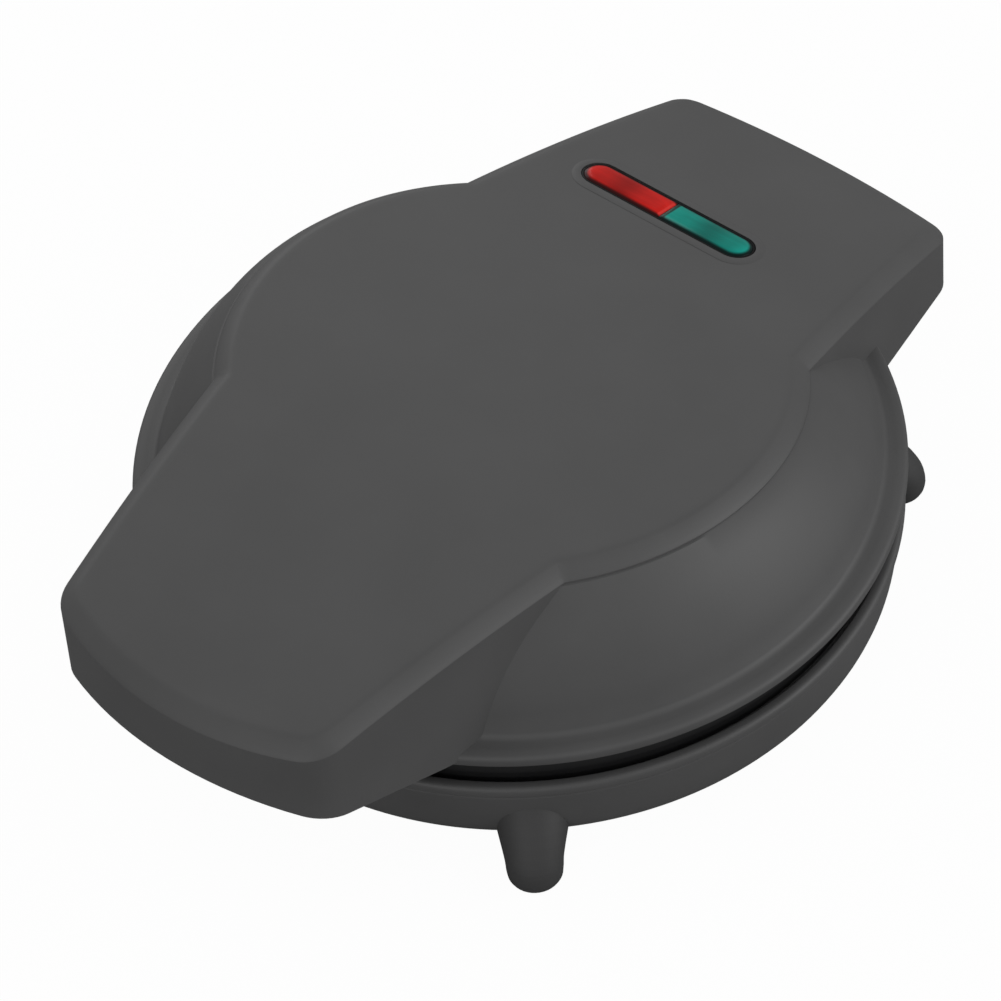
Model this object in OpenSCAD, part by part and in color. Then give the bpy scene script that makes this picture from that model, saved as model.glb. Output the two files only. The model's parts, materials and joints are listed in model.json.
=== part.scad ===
// Countertop mini donut maker: a hinged lid over a round base, each with a
// seven-ring baking plate. +Y points to the rear hinge, +Z up, z = 0 on the table.

/* [Plan] */
// Radius of the lid at its lower rim
lid_r = 100; // [96:0.5:104]
// Width of the dome's sloping ring, from the rim to the round panel
shoulder_w = 24.6; // [22:0.1:27]
// How far the handle stands out in front of the rim
handle_out = 36; // [28:1:42]
// Width of the handle where it leaves the round panel
handle_neck_w = 114; // [104:1:122]
// Width of the handle at its front end
handle_end_w = 83; // [74:1:94]
// Radius of the handle's bowed front edge
handle_bow_r = 100; // [90:5:180]
// Radius of the handle's front corners
handle_corner_r = 12; // [9:1:16]
// How far the rear housing reaches behind the hinge axis
housing_behind = 18; // [17:0.5:22]
// Width of the rear housing where it leaves the round panel
housing_neck_w = 113; // [108:1:120]
// Width of the rear housing at its back end
housing_end_w = 88; // [85:1:98]
// Radius of the housing's bowed back edge
housing_bow_r = 260; // [180:10:360]
// Radius of the housing's back corners
housing_corner_r = 8; // [6:0.5:12]

/* [Heights] */
// Height of the lid's lower rim above the table
rim_z = 42; // [40:0.5:46]
// Height of the panel's crest above the lid's rim
crest_h = 43; // [41:0.5:47]
// How far the crest lies in front of the lid's centre
crest_ahead = 55; // [48:1:62]
// How far the panel's arch falls from its crest to the housing's back end
arch_fall = 34.7; // [25:0.1:37]
// Width of the bevel round the panel
bevel_w = 4.6; // [3.5:0.1:6]
// Height of the bevel round the panel
bevel_h = 3.6; // [2.6:0.1:4.5]
// How far the dome's upper edge lies below the crest, at mid length
dome_below = 9; // [8.5:0.1:11]
// Height of the gap between the rims of lid and base
rim_gap = 10; // [9:0.5:12]
// Height of the handle's underside above the rim, at the rim
handle_under_h = 5; // [4:0.5:8]
// Slope of the handle's underside, rising to the front
handle_under_slope = 15.5; // [8:0.5:18]
// How far the rear housing's sides hang below the rim
cheek_drop = 10; // [8.5:0.5:11]

/* [Walls and clearances] */
// Thickness of the moulded walls
wall = 2.8; // [2.2:0.1:3.4]
// Gap round an inserted trim piece
trim_gap = 0.15; // [0.1:0.05:0.25]
// Radial clearance of the hinge pins in the base
run_gap = 0.06; // [0.03:0.01:0.09]
// Radial clearance of screws and pins in the bosses that hold them
hold_gap = 0.03; // [0.01:0.01:0.06]

/* [Base] */
// How far the lid's rim overhangs the base's lip
lip_inset = 0.8; // [0.3:0.1:1]
// Height of the lip band on the base
lip_h = 3.7; // [2.5:0.1:5]
// How far the lip stands out from the bowl's wall
lip_step = 0.6; // [0.3:0.1:0.9]
// How far the bowl's wall leans in, from the lip to the corner
bowl_draft = 2.3; // [1:0.1:3]
// Radius of the bowl's lower corner
bowl_corner_r = 10; // [7:0.5:12]
// Height of the bowl's underside above the table
belly_z = 6; // [5:0.5:7]
// Half the angle that the raised front lip spans
front_lip_half_a = 27; // [18:1:32]

/* [Feet] */
// Distance of a foot's middle from the lid's centre
foot_reach = 101; // [97:0.5:105]
// Angle of the front feet from the side axis
foot_front_a = 50; // [44:1:56]
// Angle of the rear feet from the side axis
foot_rear_a = 53; // [47:1:55]
// Radius of a foot at its end
foot_end_r = 7.2; // [6:0.1:8.5]
// Radius of a foot where it leaves the bowl
foot_root_r = 11.5; // [9.5:0.5:13]
// How far the foot's root lies inside its end
foot_splay = 17; // [14:1:20]
// Height of the foot's root above the table
foot_root_z = 20; // [18:1:22]
// Radius of the foot pads
pad_r = 5.2; // [4:0.1:5.8]
// How far the pads stand out of the feet
pad_out = 0.8; // [0.5:0.1:1.2]

/* [Baking plates] */
// Thickness of a baking plate
plate_t = 3; // [2.4:0.1:3.4]
// Radius from the middle of a donut to the middle of its ring
ring_r = 15.5; // [14:0.1:16]
// Radius of the ring's cross-section
dough_r = 8.5; // [7:0.1:8.8]
// Wall round each ring on the plate's back
ring_wall = 2.5; // [1.8:0.1:2.8]
// Gap between the faces of the closed plates
plate_gap = 0.3; // [0.2:0.05:0.6]

/* [Heaters and shields] */
// Radius of the heater's tube
heater_tube_r = 3.1; // [2.6:0.1:3.2]
// Half the angle left open between the heater's ends
heater_open_a = 9; // [8:0.5:11]
// Thickness of the heat shields
shield_t = 0.6; // [0.4:0.1:0.8]

/* [Lights] */
// Length of the light window
light_len = 55; // [46:1:60]
// Width of the light window
light_w = 10.6; // [9:0.1:12.5]
// How far the light window lies behind the lid's centre
light_y = 75; // [68:1:80]
// How far the light window lies left of the lid's centre
light_left = 9; // [0:1:14]
// Width of the window's black frame
light_frame_w = 1.3; // [0.9:0.1:1.8]
// Width of the bar between the two lenses
light_bar_w = 1.2; // [0.9:0.1:2.2]

/* [Hinge] */
// How far the hinge axis lies behind the lid's rim
hinge_out = 12; // [11.5:0.1:13]
// How far the hinge axis lies below the lid's rim
hinge_drop = 1; // [0.5:0.1:2]
// Radius of the hinge barrel on the base
barrel_r = 10; // [8.5:0.1:10.3]
// Half the length of the hinge barrel
barrel_half = 36; // [33:0.5:36.5]
// Radius of the hinge pins
pin_r = 3; // [2.4:0.1:3.6]
// Radius of the lid's bosses round the pins
hinge_boss_r = 7; // [5.5:0.5:8]
// Side play between the barrel and the bosses
barrel_play = 0.8; // [0.4:0.1:1]

/* [Hidden] */
$fn = 96;
// How far a cut runs past the face that it opens
over = 1;

// Steps along the stretches of the lid's outline, and the width of a riser in its floor
line_steps = 8;
corner_steps = 6;
bow_steps = 6;
disc_steps = 18;
riser_w = 0.1;

// Places and levels that the pieces share
panel_r = lid_r - shoulder_w;
front_reach = lid_r + handle_out;
hinge_y = lid_r + hinge_out;
rear_reach = hinge_y + housing_behind;
arch_span = rear_reach + crest_ahead;
arch_r = (arch_span * arch_span + arch_fall * arch_fall) / (2 * arch_fall);
rim_y = (front_reach - rear_reach) / 2;
lip_z = rim_z - rim_gap;
part_z = (rim_z + lip_z) / 2;
hinge_z = rim_z - hinge_drop;
cheek_z = rim_z - cheek_drop;
cheek_gap = 1.6;
cheek_r = lid_r + cheek_gap;

// Baking plates, measured from the parting plane: seats, stepped edge, deck and rings
seat_depth = 2.5;
seat_wall = 3.8;
seat_side_gap = 0.7;
ledge_w = 5.5;
seat_r = lid_r - seat_wall;
ledge_r = seat_r - ledge_w;
plate_r = seat_r - seat_side_gap;
plate_face = plate_gap / 2;
plate_back = plate_face + plate_t;
seat_h = rim_gap / 2 + seat_depth;
skirt_t = 3;
edge_step = 0.5;
edge_steps = 3;
ring_back = plate_face + dough_r + ring_wall;

// Heater loop, shield and rings, worked out inwards from the plate's edge
shield_side_gap = 2.9;
heater_gap = 0.4;
shield_r = plate_r - skirt_t - shield_side_gap;
heater_r = shield_r - shield_t - heater_gap - heater_tube_r;
ring_circle_r = heater_r - heater_tube_r - heater_gap - ring_wall - dough_r - ring_r;
ring_azimuths = [0, 60, 120, 180, 240, 300];
heater_lift = 0.1;
heater_h = plate_back + heater_lift + heater_tube_r;
heater_leg_r = 2.4;
heater_leg_len = 5;
heater_leg_a = 2;
heater_pin_r = 1.1;
heater_pin_len = 6;
shield_gap = 0.5;
shield_hole_gap = 0.6;
shield_h = ring_back + shield_gap;
shield_back = shield_h + shield_t;
shield_slope_h = 9;
shield_slope_w = 7.6;

// Countersunk plate screws and the bosses that take them
screw_azimuths = [30, 150, 270];
screw_inset = 9.5;
screw_circle_r = heater_r - screw_inset;
boss_r = 4.5;
screw_r = 1.9;
screw_head_r = 3.6;
screw_head_h = 1.8;
screw_len = 15;
screw_pit = 3;
slot_w = 0.9;
slot_depth = 0.8;

// Rim and dome of the lid
skirt_h = 2.2;
rim_round = 0.8;
flange_w = 5.8;
flange_h = 4.6;
dome_root_r = lid_r - flange_w;
dome_root_h = 3;
dome_bulge_out = 2.5;
dome_bulge_up = 1;
dome_tuck = 0.8;
dome_h = crest_h - dome_below;
dome_mid_r = (dome_root_r + panel_r) / 2 + dome_bulge_out;
dome_mid_h = (flange_h + dome_h) / 2 + dome_bulge_up;
dome_tilt = asin(crest_ahead / arch_r);
ledge_t = 2.7;
ledge_rise = 1.5;
mid_drop = 14;
wing_start = 48;
web_gap = 1.9;

// Light window, lenses and lamps, measured from the panel's surface
light_depth = 5;
frame_flange_w = 2;
lens_drop = 0.5;
lens_t = 2.2;
lens_ledge = 0.6;
holder_h = 6;
holder_len = 46;
holder_w = 8;
lamp_r = 2.2;
lamp_len = 5.5;
lamp_tip_r = 1;
lamp_tip_len = 1.5;
lamp_apart = 26;
lead_r = 0.5;
lead_len = 2;

// Thermostat and fuse on the upper plate's back
sensor_in = 1.4;
sensor_r = panel_r - sensor_in;
thermostat_r = 7.5;
thermostat_h = 6;
thermostat_cap_r = 6;
thermostat_cap_h = 4.5;
blade_w = 4.8;
blade_h = 4.4;
blade_t = 0.8;
blade_apart = 6;
fuse_x = -30;
fuse_ahead = 12;
fuse_y = sensor_r - fuse_ahead;
fuse_r = 2;
fuse_len = 12;
fuse_lead_r = 0.6;
fuse_lead_len = 3;
clip_w = 5;
clip_t = 0.8;
clip_sink = 0.2;

// Hinge block of the base, measured from the hinge axis, and the pins
block_rear = 3;
block_front = 24;
block_tuck = 8;
block_shoulder = 13;
block_neck = 8;
block_neck_drop = 5;
block_low_z = 10;
notch_gap = 1;
notch_depth = 14;
boss_reach = 9.4;
pin_reach = 9;
pin_in = 14;
blind_gap = 0.4;

// Handle cover and its screws
cover_t = 2;
handle_boss_r = 3.6;
handle_boss_ahead = 16;
handle_screw_x = 24;
handle_screw_r = 1.5;
handle_head_r = 2.9;
handle_head_h = 1.6;
handle_head_sink = 0.9;
handle_screw_len = 12;

// Bowl, bottom cover and its screws
floor_round_steps = 8;
cover_hole_in = 44;
cover_hole_r = lid_r - cover_hole_in;
cover_lap = 10;
floor_cover_t = 1.8;
cover_boss_r = 4;
cover_boss_h = 7;
cover_screw_inset = 5;
cover_screw_r = 1.5;
cover_head_r = 2.8;
cover_head_h = 1.2;
cover_screw_len = 7;
cover_screw_azimuths = [45, 135, 225, 315];
ring_rise_w = 2;
vent_azimuths = [0, 45, 90, 135, 180, 225, 270, 315];
vent_in = 22;
vent_r = cover_hole_r - vent_in;
vent_w = 3;
vent_len = 16;
ledge_slope_h = 2.4;
lip_round = 1.1;
lip_round_steps = 5;
front_lip_gap = 1.5;
front_lip_step = 0.4;
pad_sink = 1.2;
pad_gap = 0.1;
knee_bulge = 0.1;

// Bowl levels and radii
base_r = lid_r - lip_inset;
wall_top_z = lip_z - lip_h;
wall_top_r = base_r - lip_step;
corner_z = belly_z + bowl_corner_r;
wall_low_r = wall_top_r - bowl_draft;
corner_c_r = wall_low_r - bowl_corner_r;
floor_z = belly_z + wall;
cover_seat_z = belly_z + floor_cover_t;
cover_r = cover_hole_r + cover_lap;
cover_screw_circle_r = cover_r - cover_screw_inset;
ring_out_r = cover_r + trim_gap + wall;
base_seat_z = part_z - seat_h;

// Terminal block, cord inlet and wires
terminal_len = 26;
terminal_w = 12;
terminal_h = 7;
terminal_inset = 22;
terminal_hole_r = 1.5;
terminal_hole_apart = 8;
terminal_hole_depth = 5;
inlet_z = 17;
inlet_r = 4.9;
inlet_bore_r = 3.6;
inlet_flange_r = 5.4;
inlet_flange_t = 1.6;
inlet_start = 2;
inlet_gap = 0.05;
wire_r = 1.9;
wire_gap = 0.6;
wire_channel_gap = 0.5;
wire_x = 7;
wire_rise = 7;
bend_bulge = 0.1;
wire_side_x = 12;
wire_side_y = 1;
fuse_bend = 4;
fuse_bend_gap = 2;

function unit(v) = v / norm(v);
function swing(a) = [cos(a), sin(a)];
function angle_of(v) = atan2(v[1], v[0]);
function top_z(y) = rim_z + crest_h - arch_r + sqrt(pow(arch_r, 2) - pow(y + crest_ahead, 2));
function top_slope(y) = asin((y + crest_ahead) / arch_r);
function under_z(y) = rim_z + handle_under_h - (y + lid_r) * tan(handle_under_slope);

// Distance along a line from q in direction t to the circle of radius r about c
function along_to_circle(q, t, c, r) =
    let(d = q - c, b = d * t) -b + sqrt(b * b - d * d + r * r);

// Right half of a wing that leaves the round panel and runs to +Y, from its
// neck to the middle of its end, drawn a distance "inset" inside the edge
function wing_half(neck_w, end_w, reach, bow_r, corner_r, inset) =
    let(n0 = [neck_w / 2, sqrt(pow(panel_r, 2) - pow(neck_w / 2, 2))],
        t = unit([end_w / 2, reach] - n0),
        out = [t[1], -t[0]],
        bow_c = [0, reach - bow_r],
        c0 = n0 - out * corner_r,
        corner_c = c0 + t * along_to_circle(c0, t, bow_c, bow_r - corner_r),
        a0 = angle_of(out),
        a1 = angle_of(corner_c - bow_c),
        q = n0 - out * inset,
        neck = q + t * along_to_circle(q, t, [0, 0], panel_r - inset),
        line_end = corner_c + out * (corner_r - inset),
        half_step = (90 - a1) / bow_steps / 2)
    concat([for (i = [0:line_steps]) neck + (line_end - neck) * i / line_steps],
           [for (i = [1:corner_steps])
               corner_c + (corner_r - inset) * swing(a0 + (a1 - a0) * i / corner_steps)],
           [for (i = [1:bow_steps])
               bow_c + (bow_r - inset) * swing(a1 + (90 - half_step - a1) * i / bow_steps)]);

function mirror_y(points) =
    [for (i = [len(points) - 1:-1:0]) [points[i][0], -points[i][1]]];

// Right half of the lid's hourglass outline, front to back
function half_outline(inset) =
    let(front = mirror_y(wing_half(handle_neck_w, handle_end_w, front_reach,
                                   handle_bow_r, handle_corner_r, inset)),
        rear = wing_half(housing_neck_w, housing_end_w, rear_reach,
                         housing_bow_r, housing_corner_r, inset),
        a0 = angle_of(front[len(front) - 1]),
        a1 = angle_of(rear[0]))
    concat(front,
           [for (i = [1:disc_steps - 1])
               (panel_r - inset) * swing(a0 + (a1 - a0) * i / disc_steps)],
           rear);

// Half width of an outline at y, on the line between two of its points
function half_at(edge, y) =
    [for (i = [0:len(edge) - 2])
        if (edge[i][1] < y && edge[i + 1][1] >= y)
            let(share = (y - edge[i][1]) / (edge[i + 1][1] - edge[i][1]))
            edge[i][0] + (edge[i + 1][0] - edge[i][0]) * share][0];

// The outline with two more stations, a riser's width apart, from y on
function with_riser(edge, y) =
    concat([for (p = edge) if (p[1] < y) p],
           [for (s = [y, y + riser_w]) [half_at(edge, s), s]],
           [for (p = edge) if (p[1] > y + riser_w) p]);

// The stretch of the outline in front of y
function ahead_of(edge, y) =
    concat([for (p = edge) if (p[1] < y) p], [[half_at(edge, y), y]]);

// Vertex number of a rib's right (0) or left (1) end, for ribs numbered level by level
function rib_end(level, station, side, stations) = (level * stations + station) * 2 + side;
function quad(a, b, c, d) = [[a, b, c], [a, c, d]];

// Closed body between stacked levels of an outline: each level is a list of
// [half width, y, z], and every level has the same number of stations
module ribbed_body(levels) {
    m = len(levels) - 1;
    n = len(levels[0]);
    points = [for (level = levels, p = level, side = [1, -1]) [side * p[0], p[1], p[2]]];
    floors = [for (i = [0:n - 2])
        each quad(rib_end(0, i, 0, n), rib_end(0, i + 1, 0, n),
                  rib_end(0, i + 1, 1, n), rib_end(0, i, 1, n))];
    roofs = [for (i = [0:n - 2])
        each quad(rib_end(m, i, 1, n), rib_end(m, i + 1, 1, n),
                  rib_end(m, i + 1, 0, n), rib_end(m, i, 0, n))];
    rights = [for (k = [0:m - 1], i = [0:n - 2])
        each quad(rib_end(k, i, 0, n), rib_end(k + 1, i, 0, n),
                  rib_end(k + 1, i + 1, 0, n), rib_end(k, i + 1, 0, n))];
    lefts = [for (k = [0:m - 1], i = [0:n - 2])
        each quad(rib_end(k, i + 1, 1, n), rib_end(k + 1, i + 1, 1, n),
                  rib_end(k + 1, i, 1, n), rib_end(k, i, 1, n))];
    fronts = [for (k = [0:m - 1])
        each quad(rib_end(k, 0, 1, n), rib_end(k + 1, 0, 1, n),
                  rib_end(k + 1, 0, 0, n), rib_end(k, 0, 0, n))];
    backs = [for (k = [0:m - 1])
        each quad(rib_end(k, n - 1, 0, n), rib_end(k + 1, n - 1, 0, n),
                  rib_end(k + 1, n - 1, 1, n), rib_end(k, n - 1, 1, n))];
    polyhedron(points = points, faces = concat(floors, roofs, rights, lefts, fronts, backs),
               convexity = 8);
}

module both_sides() {
    for (side = [0, 1])
        mirror([side, 0, 0]) children();
}

module at_azimuths(list, r) {
    for (a = list)
        rotate([0, 0, a]) translate([r, 0, 0]) children();
}

module pill(length, width, h) {
    linear_extrude(h) {
        square([length - width, width], center = true);
        for (side = [-1, 1])
            translate([side * (length - width) / 2, 0]) circle(width / 2);
    }
}

// Frames: z = 0 on the parting plane, rising into the lid or sinking into the base
module in_lid() {
    translate([0, 0, part_z]) children();
}

module in_base() {
    translate([0, 0, part_z]) mirror([0, 0, 1]) children();
}

module in_light() {
    translate([-light_left, light_y, top_z(light_y)]) rotate([-top_slope(light_y), 0, 0]) children();
}

module hinge_rod(r, x0, x1) {
    translate([x0, hinge_y, hinge_z]) rotate([0, 90, 0]) cylinder(r = r, h = x1 - x0);
}

// The raised panel with handle and housing, solid
module panel_solid() {
    function low_z(y) =
        y > panel_r ? cheek_z :
        y > -wing_start && y < wing_start ? rim_z + dome_h - mid_drop : max(under_z(y), rim_z);
    edge = half_outline(0);
    top = half_outline(bevel_w);
    ribbed_body([[for (p = edge) [p[0], p[1], low_z(p[1])]],
                 [for (p = edge) [p[0], p[1], top_z(p[1]) - bevel_h]],
                 [for (p = top) [p[0], p[1], top_z(p[1])]]]);
}

// Its hollow: open below beyond the rim, and over the rim's web in between
module panel_hollow() {
    function low_z(y) =
        y <= -cheek_r ? rim_z - over :
        y >= cheek_r + riser_w ? cheek_z - over : rim_z + flange_h + web_gap;
    edge = with_riser(with_riser(half_outline(bevel_w), -cheek_r), cheek_r);
    ribbed_body([[for (p = edge) [p[0], p[1], low_z(p[1])]],
                 [for (p = edge) [p[0], p[1], top_z(p[1]) - wall]]]);
}

// Dome between the rim and the panel, shrunk by "inset": a level cone cut by a tilted one
module dome_body(inset, low_h) {
    low_slope = (dome_root_r - dome_mid_r) / (dome_mid_h - flange_h);
    high_slope = (dome_mid_r - panel_r) / (dome_h - dome_mid_h);
    intersection() {
        translate([0, 0, rim_z + low_h])
            cylinder(r1 = dome_root_r - inset + (flange_h - low_h) * low_slope,
                     r2 = dome_root_r - inset + (flange_h - low_h - crest_h) * low_slope, h = crest_h);
        translate([0, 0, rim_z + dome_h - inset]) rotate([-dome_tilt, 0, 0])
            translate([0, 0, dome_tuck - crest_h])
                cylinder(r1 = panel_r - inset + (crest_h - dome_tuck) * high_slope,
                         r2 = panel_r - inset - dome_tuck * high_slope, h = crest_h);
    }
}

module dome_hollow() {
    dome_body(wall, seat_depth + ledge_t);
    translate([0, 0, rim_z]) cylinder(r = ledge_r, h = seat_depth + ledge_t + ledge_rise);
}

// The flat rolled rim round the plate's seat
module lid_rim() {
    rotate_extrude()
        polygon([[ledge_r - over, rim_z + seat_depth], [seat_r, rim_z + seat_depth], [seat_r, rim_z],
                 [lid_r - rim_round / 2, rim_z], [lid_r, rim_z + rim_round / 2],
                 [lid_r, rim_z + skirt_h], [lid_r - rim_round, rim_z + skirt_h + rim_round],
                 [dome_root_r, rim_z + flange_h], [ledge_r - over, rim_z + flange_h]]);
}

// The panel without what would reach under the rim, into the plate's seat or the hinge block
module panel_wings() {
    difference() {
        panel_solid();
        translate([0, 0, cheek_z - over]) cylinder(r = cheek_r, h = cheek_drop + over);
        translate([0, 0, rim_z - over]) cylinder(r = seat_r, h = seat_depth + over);
        hinge_notch();
    }
}

module lid_shell() {
    translate([0, rim_y, 0]) color("#4f4f50")
        difference() {
            union() {
                difference() {
                    union() {
                        lid_rim();
                        dome_body(0, dome_root_h);
                        panel_wings();
                    }
                    dome_hollow();
                    panel_hollow();
                    in_light() translate([0, 0, -light_depth])
                        pill(light_len + 2 * trim_gap, light_w + 2 * trim_gap, 2 * light_depth);
                }
                upper_bosses();
                handle_bosses();
                both_sides() hinge_rod(hinge_boss_r, barrel_half + barrel_play, barrel_half + boss_reach);
            }
            both_sides() hinge_rod(pin_r + hold_gap, barrel_half - over, barrel_half + pin_reach + hold_gap);
            in_lid() screw_bores();
            at_handle_screws() translate([0, 0, -over])
                cylinder(r = handle_screw_r + hold_gap, h = handle_screw_len + over + screw_pit);
        }
}

// Lets the lid's rear wall pass the base's hinge block, and its web the block's shoulder
module hinge_notch() {
    half = barrel_half + notch_gap;
    translate([-half, rear_reach - notch_depth, cheek_z - over])
        cube([2 * half, notch_depth + over, cheek_drop + over]);
    translate([-half, panel_r, cheek_z - over])
        cube([2 * half, cheek_r + over - panel_r, cheek_drop + over]);
}

// Three bosses that hang from the dome and from the panel
module upper_bosses() {
    for (a = screw_azimuths) {
        y = screw_circle_r * sin(a);
        side_top = rim_z + dome_mid_h + (dome_h - dome_mid_h) / 2;
        top = a == 270 ? top_z(y) - wall / 2 : side_top - y * sin(dome_tilt);
        rotate([0, 0, a]) translate([screw_circle_r, 0, part_z + plate_back])
            cylinder(r = boss_r, h = top - part_z - plate_back);
    }
}

module screw_bores() {
    at_azimuths(screw_azimuths, screw_circle_r)
        cylinder(r = screw_r + hold_gap, h = screw_len + screw_pit);
}

// Places of the handle's two screws, z = 0 under their heads
module at_handle_screws() {
    y = -cheek_r - handle_boss_ahead;
    for (side = [-1, 1])
        translate([side * handle_screw_x, y, under_z(y) + handle_head_sink]) children();
}

module handle_bosses() {
    y = -cheek_r - handle_boss_ahead;
    rise = cover_t + handle_boss_r * tan(handle_under_slope) - handle_head_sink;
    at_handle_screws() translate([0, 0, rise])
        cylinder(r = handle_boss_r, h = top_z(y) - wall / 2 - under_z(y) - handle_head_sink - rise);
}

module handle_cover() {
    edge = ahead_of(half_outline(bevel_w + trim_gap), -cheek_r - trim_gap);
    translate([0, rim_y, 0]) color("#434344")
        difference() {
            ribbed_body([[for (p = edge) [p[0], p[1], under_z(p[1])]],
                         [for (p = edge) [p[0], p[1], under_z(p[1]) + cover_t]]]);
            at_handle_screws() {
                translate([0, 0, -over]) cylinder(r = handle_screw_r + trim_gap, h = cover_t + 2 * over);
                translate([0, 0, -2 * over]) cylinder(r = handle_head_r + trim_gap, h = 2 * over);
            }
        }
}

// Pan-head screw, z = 0 under its head
module pan_screw(r, length, head_r, head_h) {
    difference() {
        union() {
            cylinder(r = r, h = length);
            translate([0, 0, -head_h]) cylinder(r = head_r, h = head_h);
        }
        translate([-head_r - over, -slot_w / 2, -head_h - over])
            cube([2 * (head_r + over), slot_w, slot_depth + over]);
    }
}

// Countersunk screw, z = 0 on its head
module flat_screw(r, length, head_r, head_h) {
    difference() {
        union() {
            cylinder(r = r, h = length);
            cylinder(r1 = head_r, r2 = r, h = head_h);
        }
        translate([-head_r - over, -slot_w / 2, -over])
            cube([2 * (head_r + over), slot_w, slot_depth + over]);
    }
}

module handle_screws() {
    translate([0, rim_y, 0]) color("#8a8a8c")
        at_handle_screws() pan_screw(handle_screw_r, handle_screw_len, handle_head_r, handle_head_h);
}

// One lens's outline on the right (1) or left (-1) of the bar, shrunk by "play"
module lens_shape(side, play, h) {
    reach = light_len / 2;
    intersection() {
        pill(light_len - 2 * (light_frame_w + play), light_w - 2 * (light_frame_w + play), h);
        translate([side > 0 ? light_bar_w / 2 + play : -reach, -light_w / 2, 0])
            cube([reach - light_bar_w / 2 - play, light_w, h]);
    }
}

module light_frame() {
    translate([0, rim_y, 0]) color("#161617")
        in_light() translate([0, 0, -light_depth])
            difference() {
                union() {
                    pill(light_len, light_w, light_depth);
                    pill(light_len + 2 * frame_flange_w, light_w + 2 * frame_flange_w,
                         light_depth - wall - trim_gap);
                }
                for (side = [-1, 1]) {
                    translate([0, 0, -over]) lens_shape(side, lens_ledge, light_depth + over);
                    translate([0, 0, light_depth - lens_drop - lens_t])
                        lens_shape(side, 0, lens_t + lens_drop + over);
                }
            }
}

module lens(side) {
    in_light() translate([0, 0, -lens_drop - lens_t]) lens_shape(side, trim_gap, lens_t);
}

module red_lens() {
    translate([0, rim_y, 0]) color("#b0211a") lens(-1);
}

module green_lens() {
    translate([0, rim_y, 0]) color("#206b68") lens(1);
}

module at_lamps() {
    in_light()
        for (side = [-1, 1])
            translate([side * lamp_apart / 2, 0, -light_depth - holder_h]) children();
}

module lamp_holder() {
    translate([0, rim_y, 0]) color("#d8d6cf")
        difference() {
            in_light() translate([0, 0, -light_depth - holder_h]) pill(holder_len, holder_w, holder_h);
            at_lamps() translate([0, 0, -over]) cylinder(r = lamp_r + trim_gap, h = holder_h + 2 * over);
        }
}

module indicator_lamps() {
    translate([0, rim_y, 0]) color("#e8b48c")
        at_lamps() {
            cylinder(r = lamp_r, h = lamp_len);
            translate([0, 0, lamp_len]) cylinder(r1 = lamp_r, r2 = lamp_tip_r, h = lamp_tip_len);
            for (side = [-1, 1])
                translate([side * lamp_r / 2, 0, -lead_len]) cylinder(r = lead_r, h = lead_len + lamp_r);
        }
}

// Baking plate, facing down in the lid's frame and up in the base's
module plate() {
    difference() {
        union() {
            plate_edge();
            translate([0, 0, plate_face]) cylinder(r = plate_r - skirt_t / 2, h = plate_t);
            ring_body();
            at_azimuths(ring_azimuths, ring_circle_r) ring_body();
        }
        ring_cut();
        at_azimuths(ring_azimuths, ring_circle_r) ring_cut();
        at_azimuths(screw_azimuths, screw_circle_r) {
            translate([0, 0, -over]) cylinder(r = screw_r + trim_gap, h = plate_back + 2 * over);
            translate([0, 0, plate_face - trim_gap])
                cylinder(r1 = screw_head_r + 2 * trim_gap, r2 = screw_r + trim_gap,
                         h = screw_head_h + trim_gap);
        }
    }
}

// Skirt that stands on the seat, its outside stepped in towards the seat
module plate_edge() {
    inner = plate_r - skirt_t;
    rise = (seat_h - plate_face) / edge_steps;
    steps = [for (i = [0:edge_steps - 1], k = [0, 1])
        [plate_r - i * edge_step, plate_face + (i + k) * rise]];
    rotate_extrude()
        polygon(concat([[inner, plate_face]], steps, [[inner, seat_h]]));
}

module ring_body() {
    r = dough_r + ring_wall;
    rotate_extrude()
        intersection() {
            translate([ring_r, plate_face]) circle(r);
            translate([0, plate_face + plate_t / 2]) square([ring_r + r + over, r + over]);
        }
}

module ring_cut() {
    rotate_extrude() translate([ring_r, plate_face]) circle(dough_r);
}

module plate_screws() {
    at_azimuths(screw_azimuths, screw_circle_r) translate([0, 0, plate_face])
        flat_screw(screw_r, screw_len, screw_head_r, screw_head_h);
}

module heater() {
    rotate([0, 0, 90 + heater_open_a])
        rotate_extrude(angle = 360 - 2 * heater_open_a)
            translate([heater_r, heater_h]) circle(heater_tube_r);
    at_heater_legs() {
        cylinder(r = heater_leg_r, h = heater_leg_len);
        cylinder(r = heater_pin_r, h = heater_leg_len + heater_pin_len);
    }
}

module at_heater_legs() {
    for (side = [-1, 1])
        rotate([0, 0, 90 + side * (heater_open_a + heater_leg_a)])
            translate([heater_r, 0, heater_h]) children();
}

module shield() {
    difference() {
        rotate_extrude()
            polygon([[0, shield_h], [shield_r - shield_slope_w - shield_t, shield_h],
                     [shield_r - shield_t, shield_slope_h], [shield_r - shield_t, plate_back],
                     [shield_r, plate_back], [shield_r, shield_slope_h],
                     [shield_r - shield_slope_w, shield_back], [0, shield_back]]);
        at_azimuths(screw_azimuths, screw_circle_r)
            cylinder(r = boss_r + shield_hole_gap, h = shield_back + over);
        at_heater_legs() cylinder(r = heater_leg_r + shield_hole_gap, h = shield_back);
    }
}

module upper_plate() {
    translate([0, rim_y, 0]) color("#2b2b2c") in_lid() plate();
}

module lower_plate() {
    translate([0, rim_y, 0]) color("#2b2b2c") in_base() plate();
}

module upper_plate_screws() {
    translate([0, rim_y, 0]) color("#8a8a8c") in_lid() plate_screws();
}

module lower_plate_screws() {
    translate([0, rim_y, 0]) color("#8a8a8c") in_base() plate_screws();
}

module upper_heater() {
    translate([0, rim_y, 0]) color("#6f6a64") in_lid() heater();
}

module lower_heater() {
    translate([0, rim_y, 0]) color("#6f6a64") in_base() heater();
}

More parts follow.
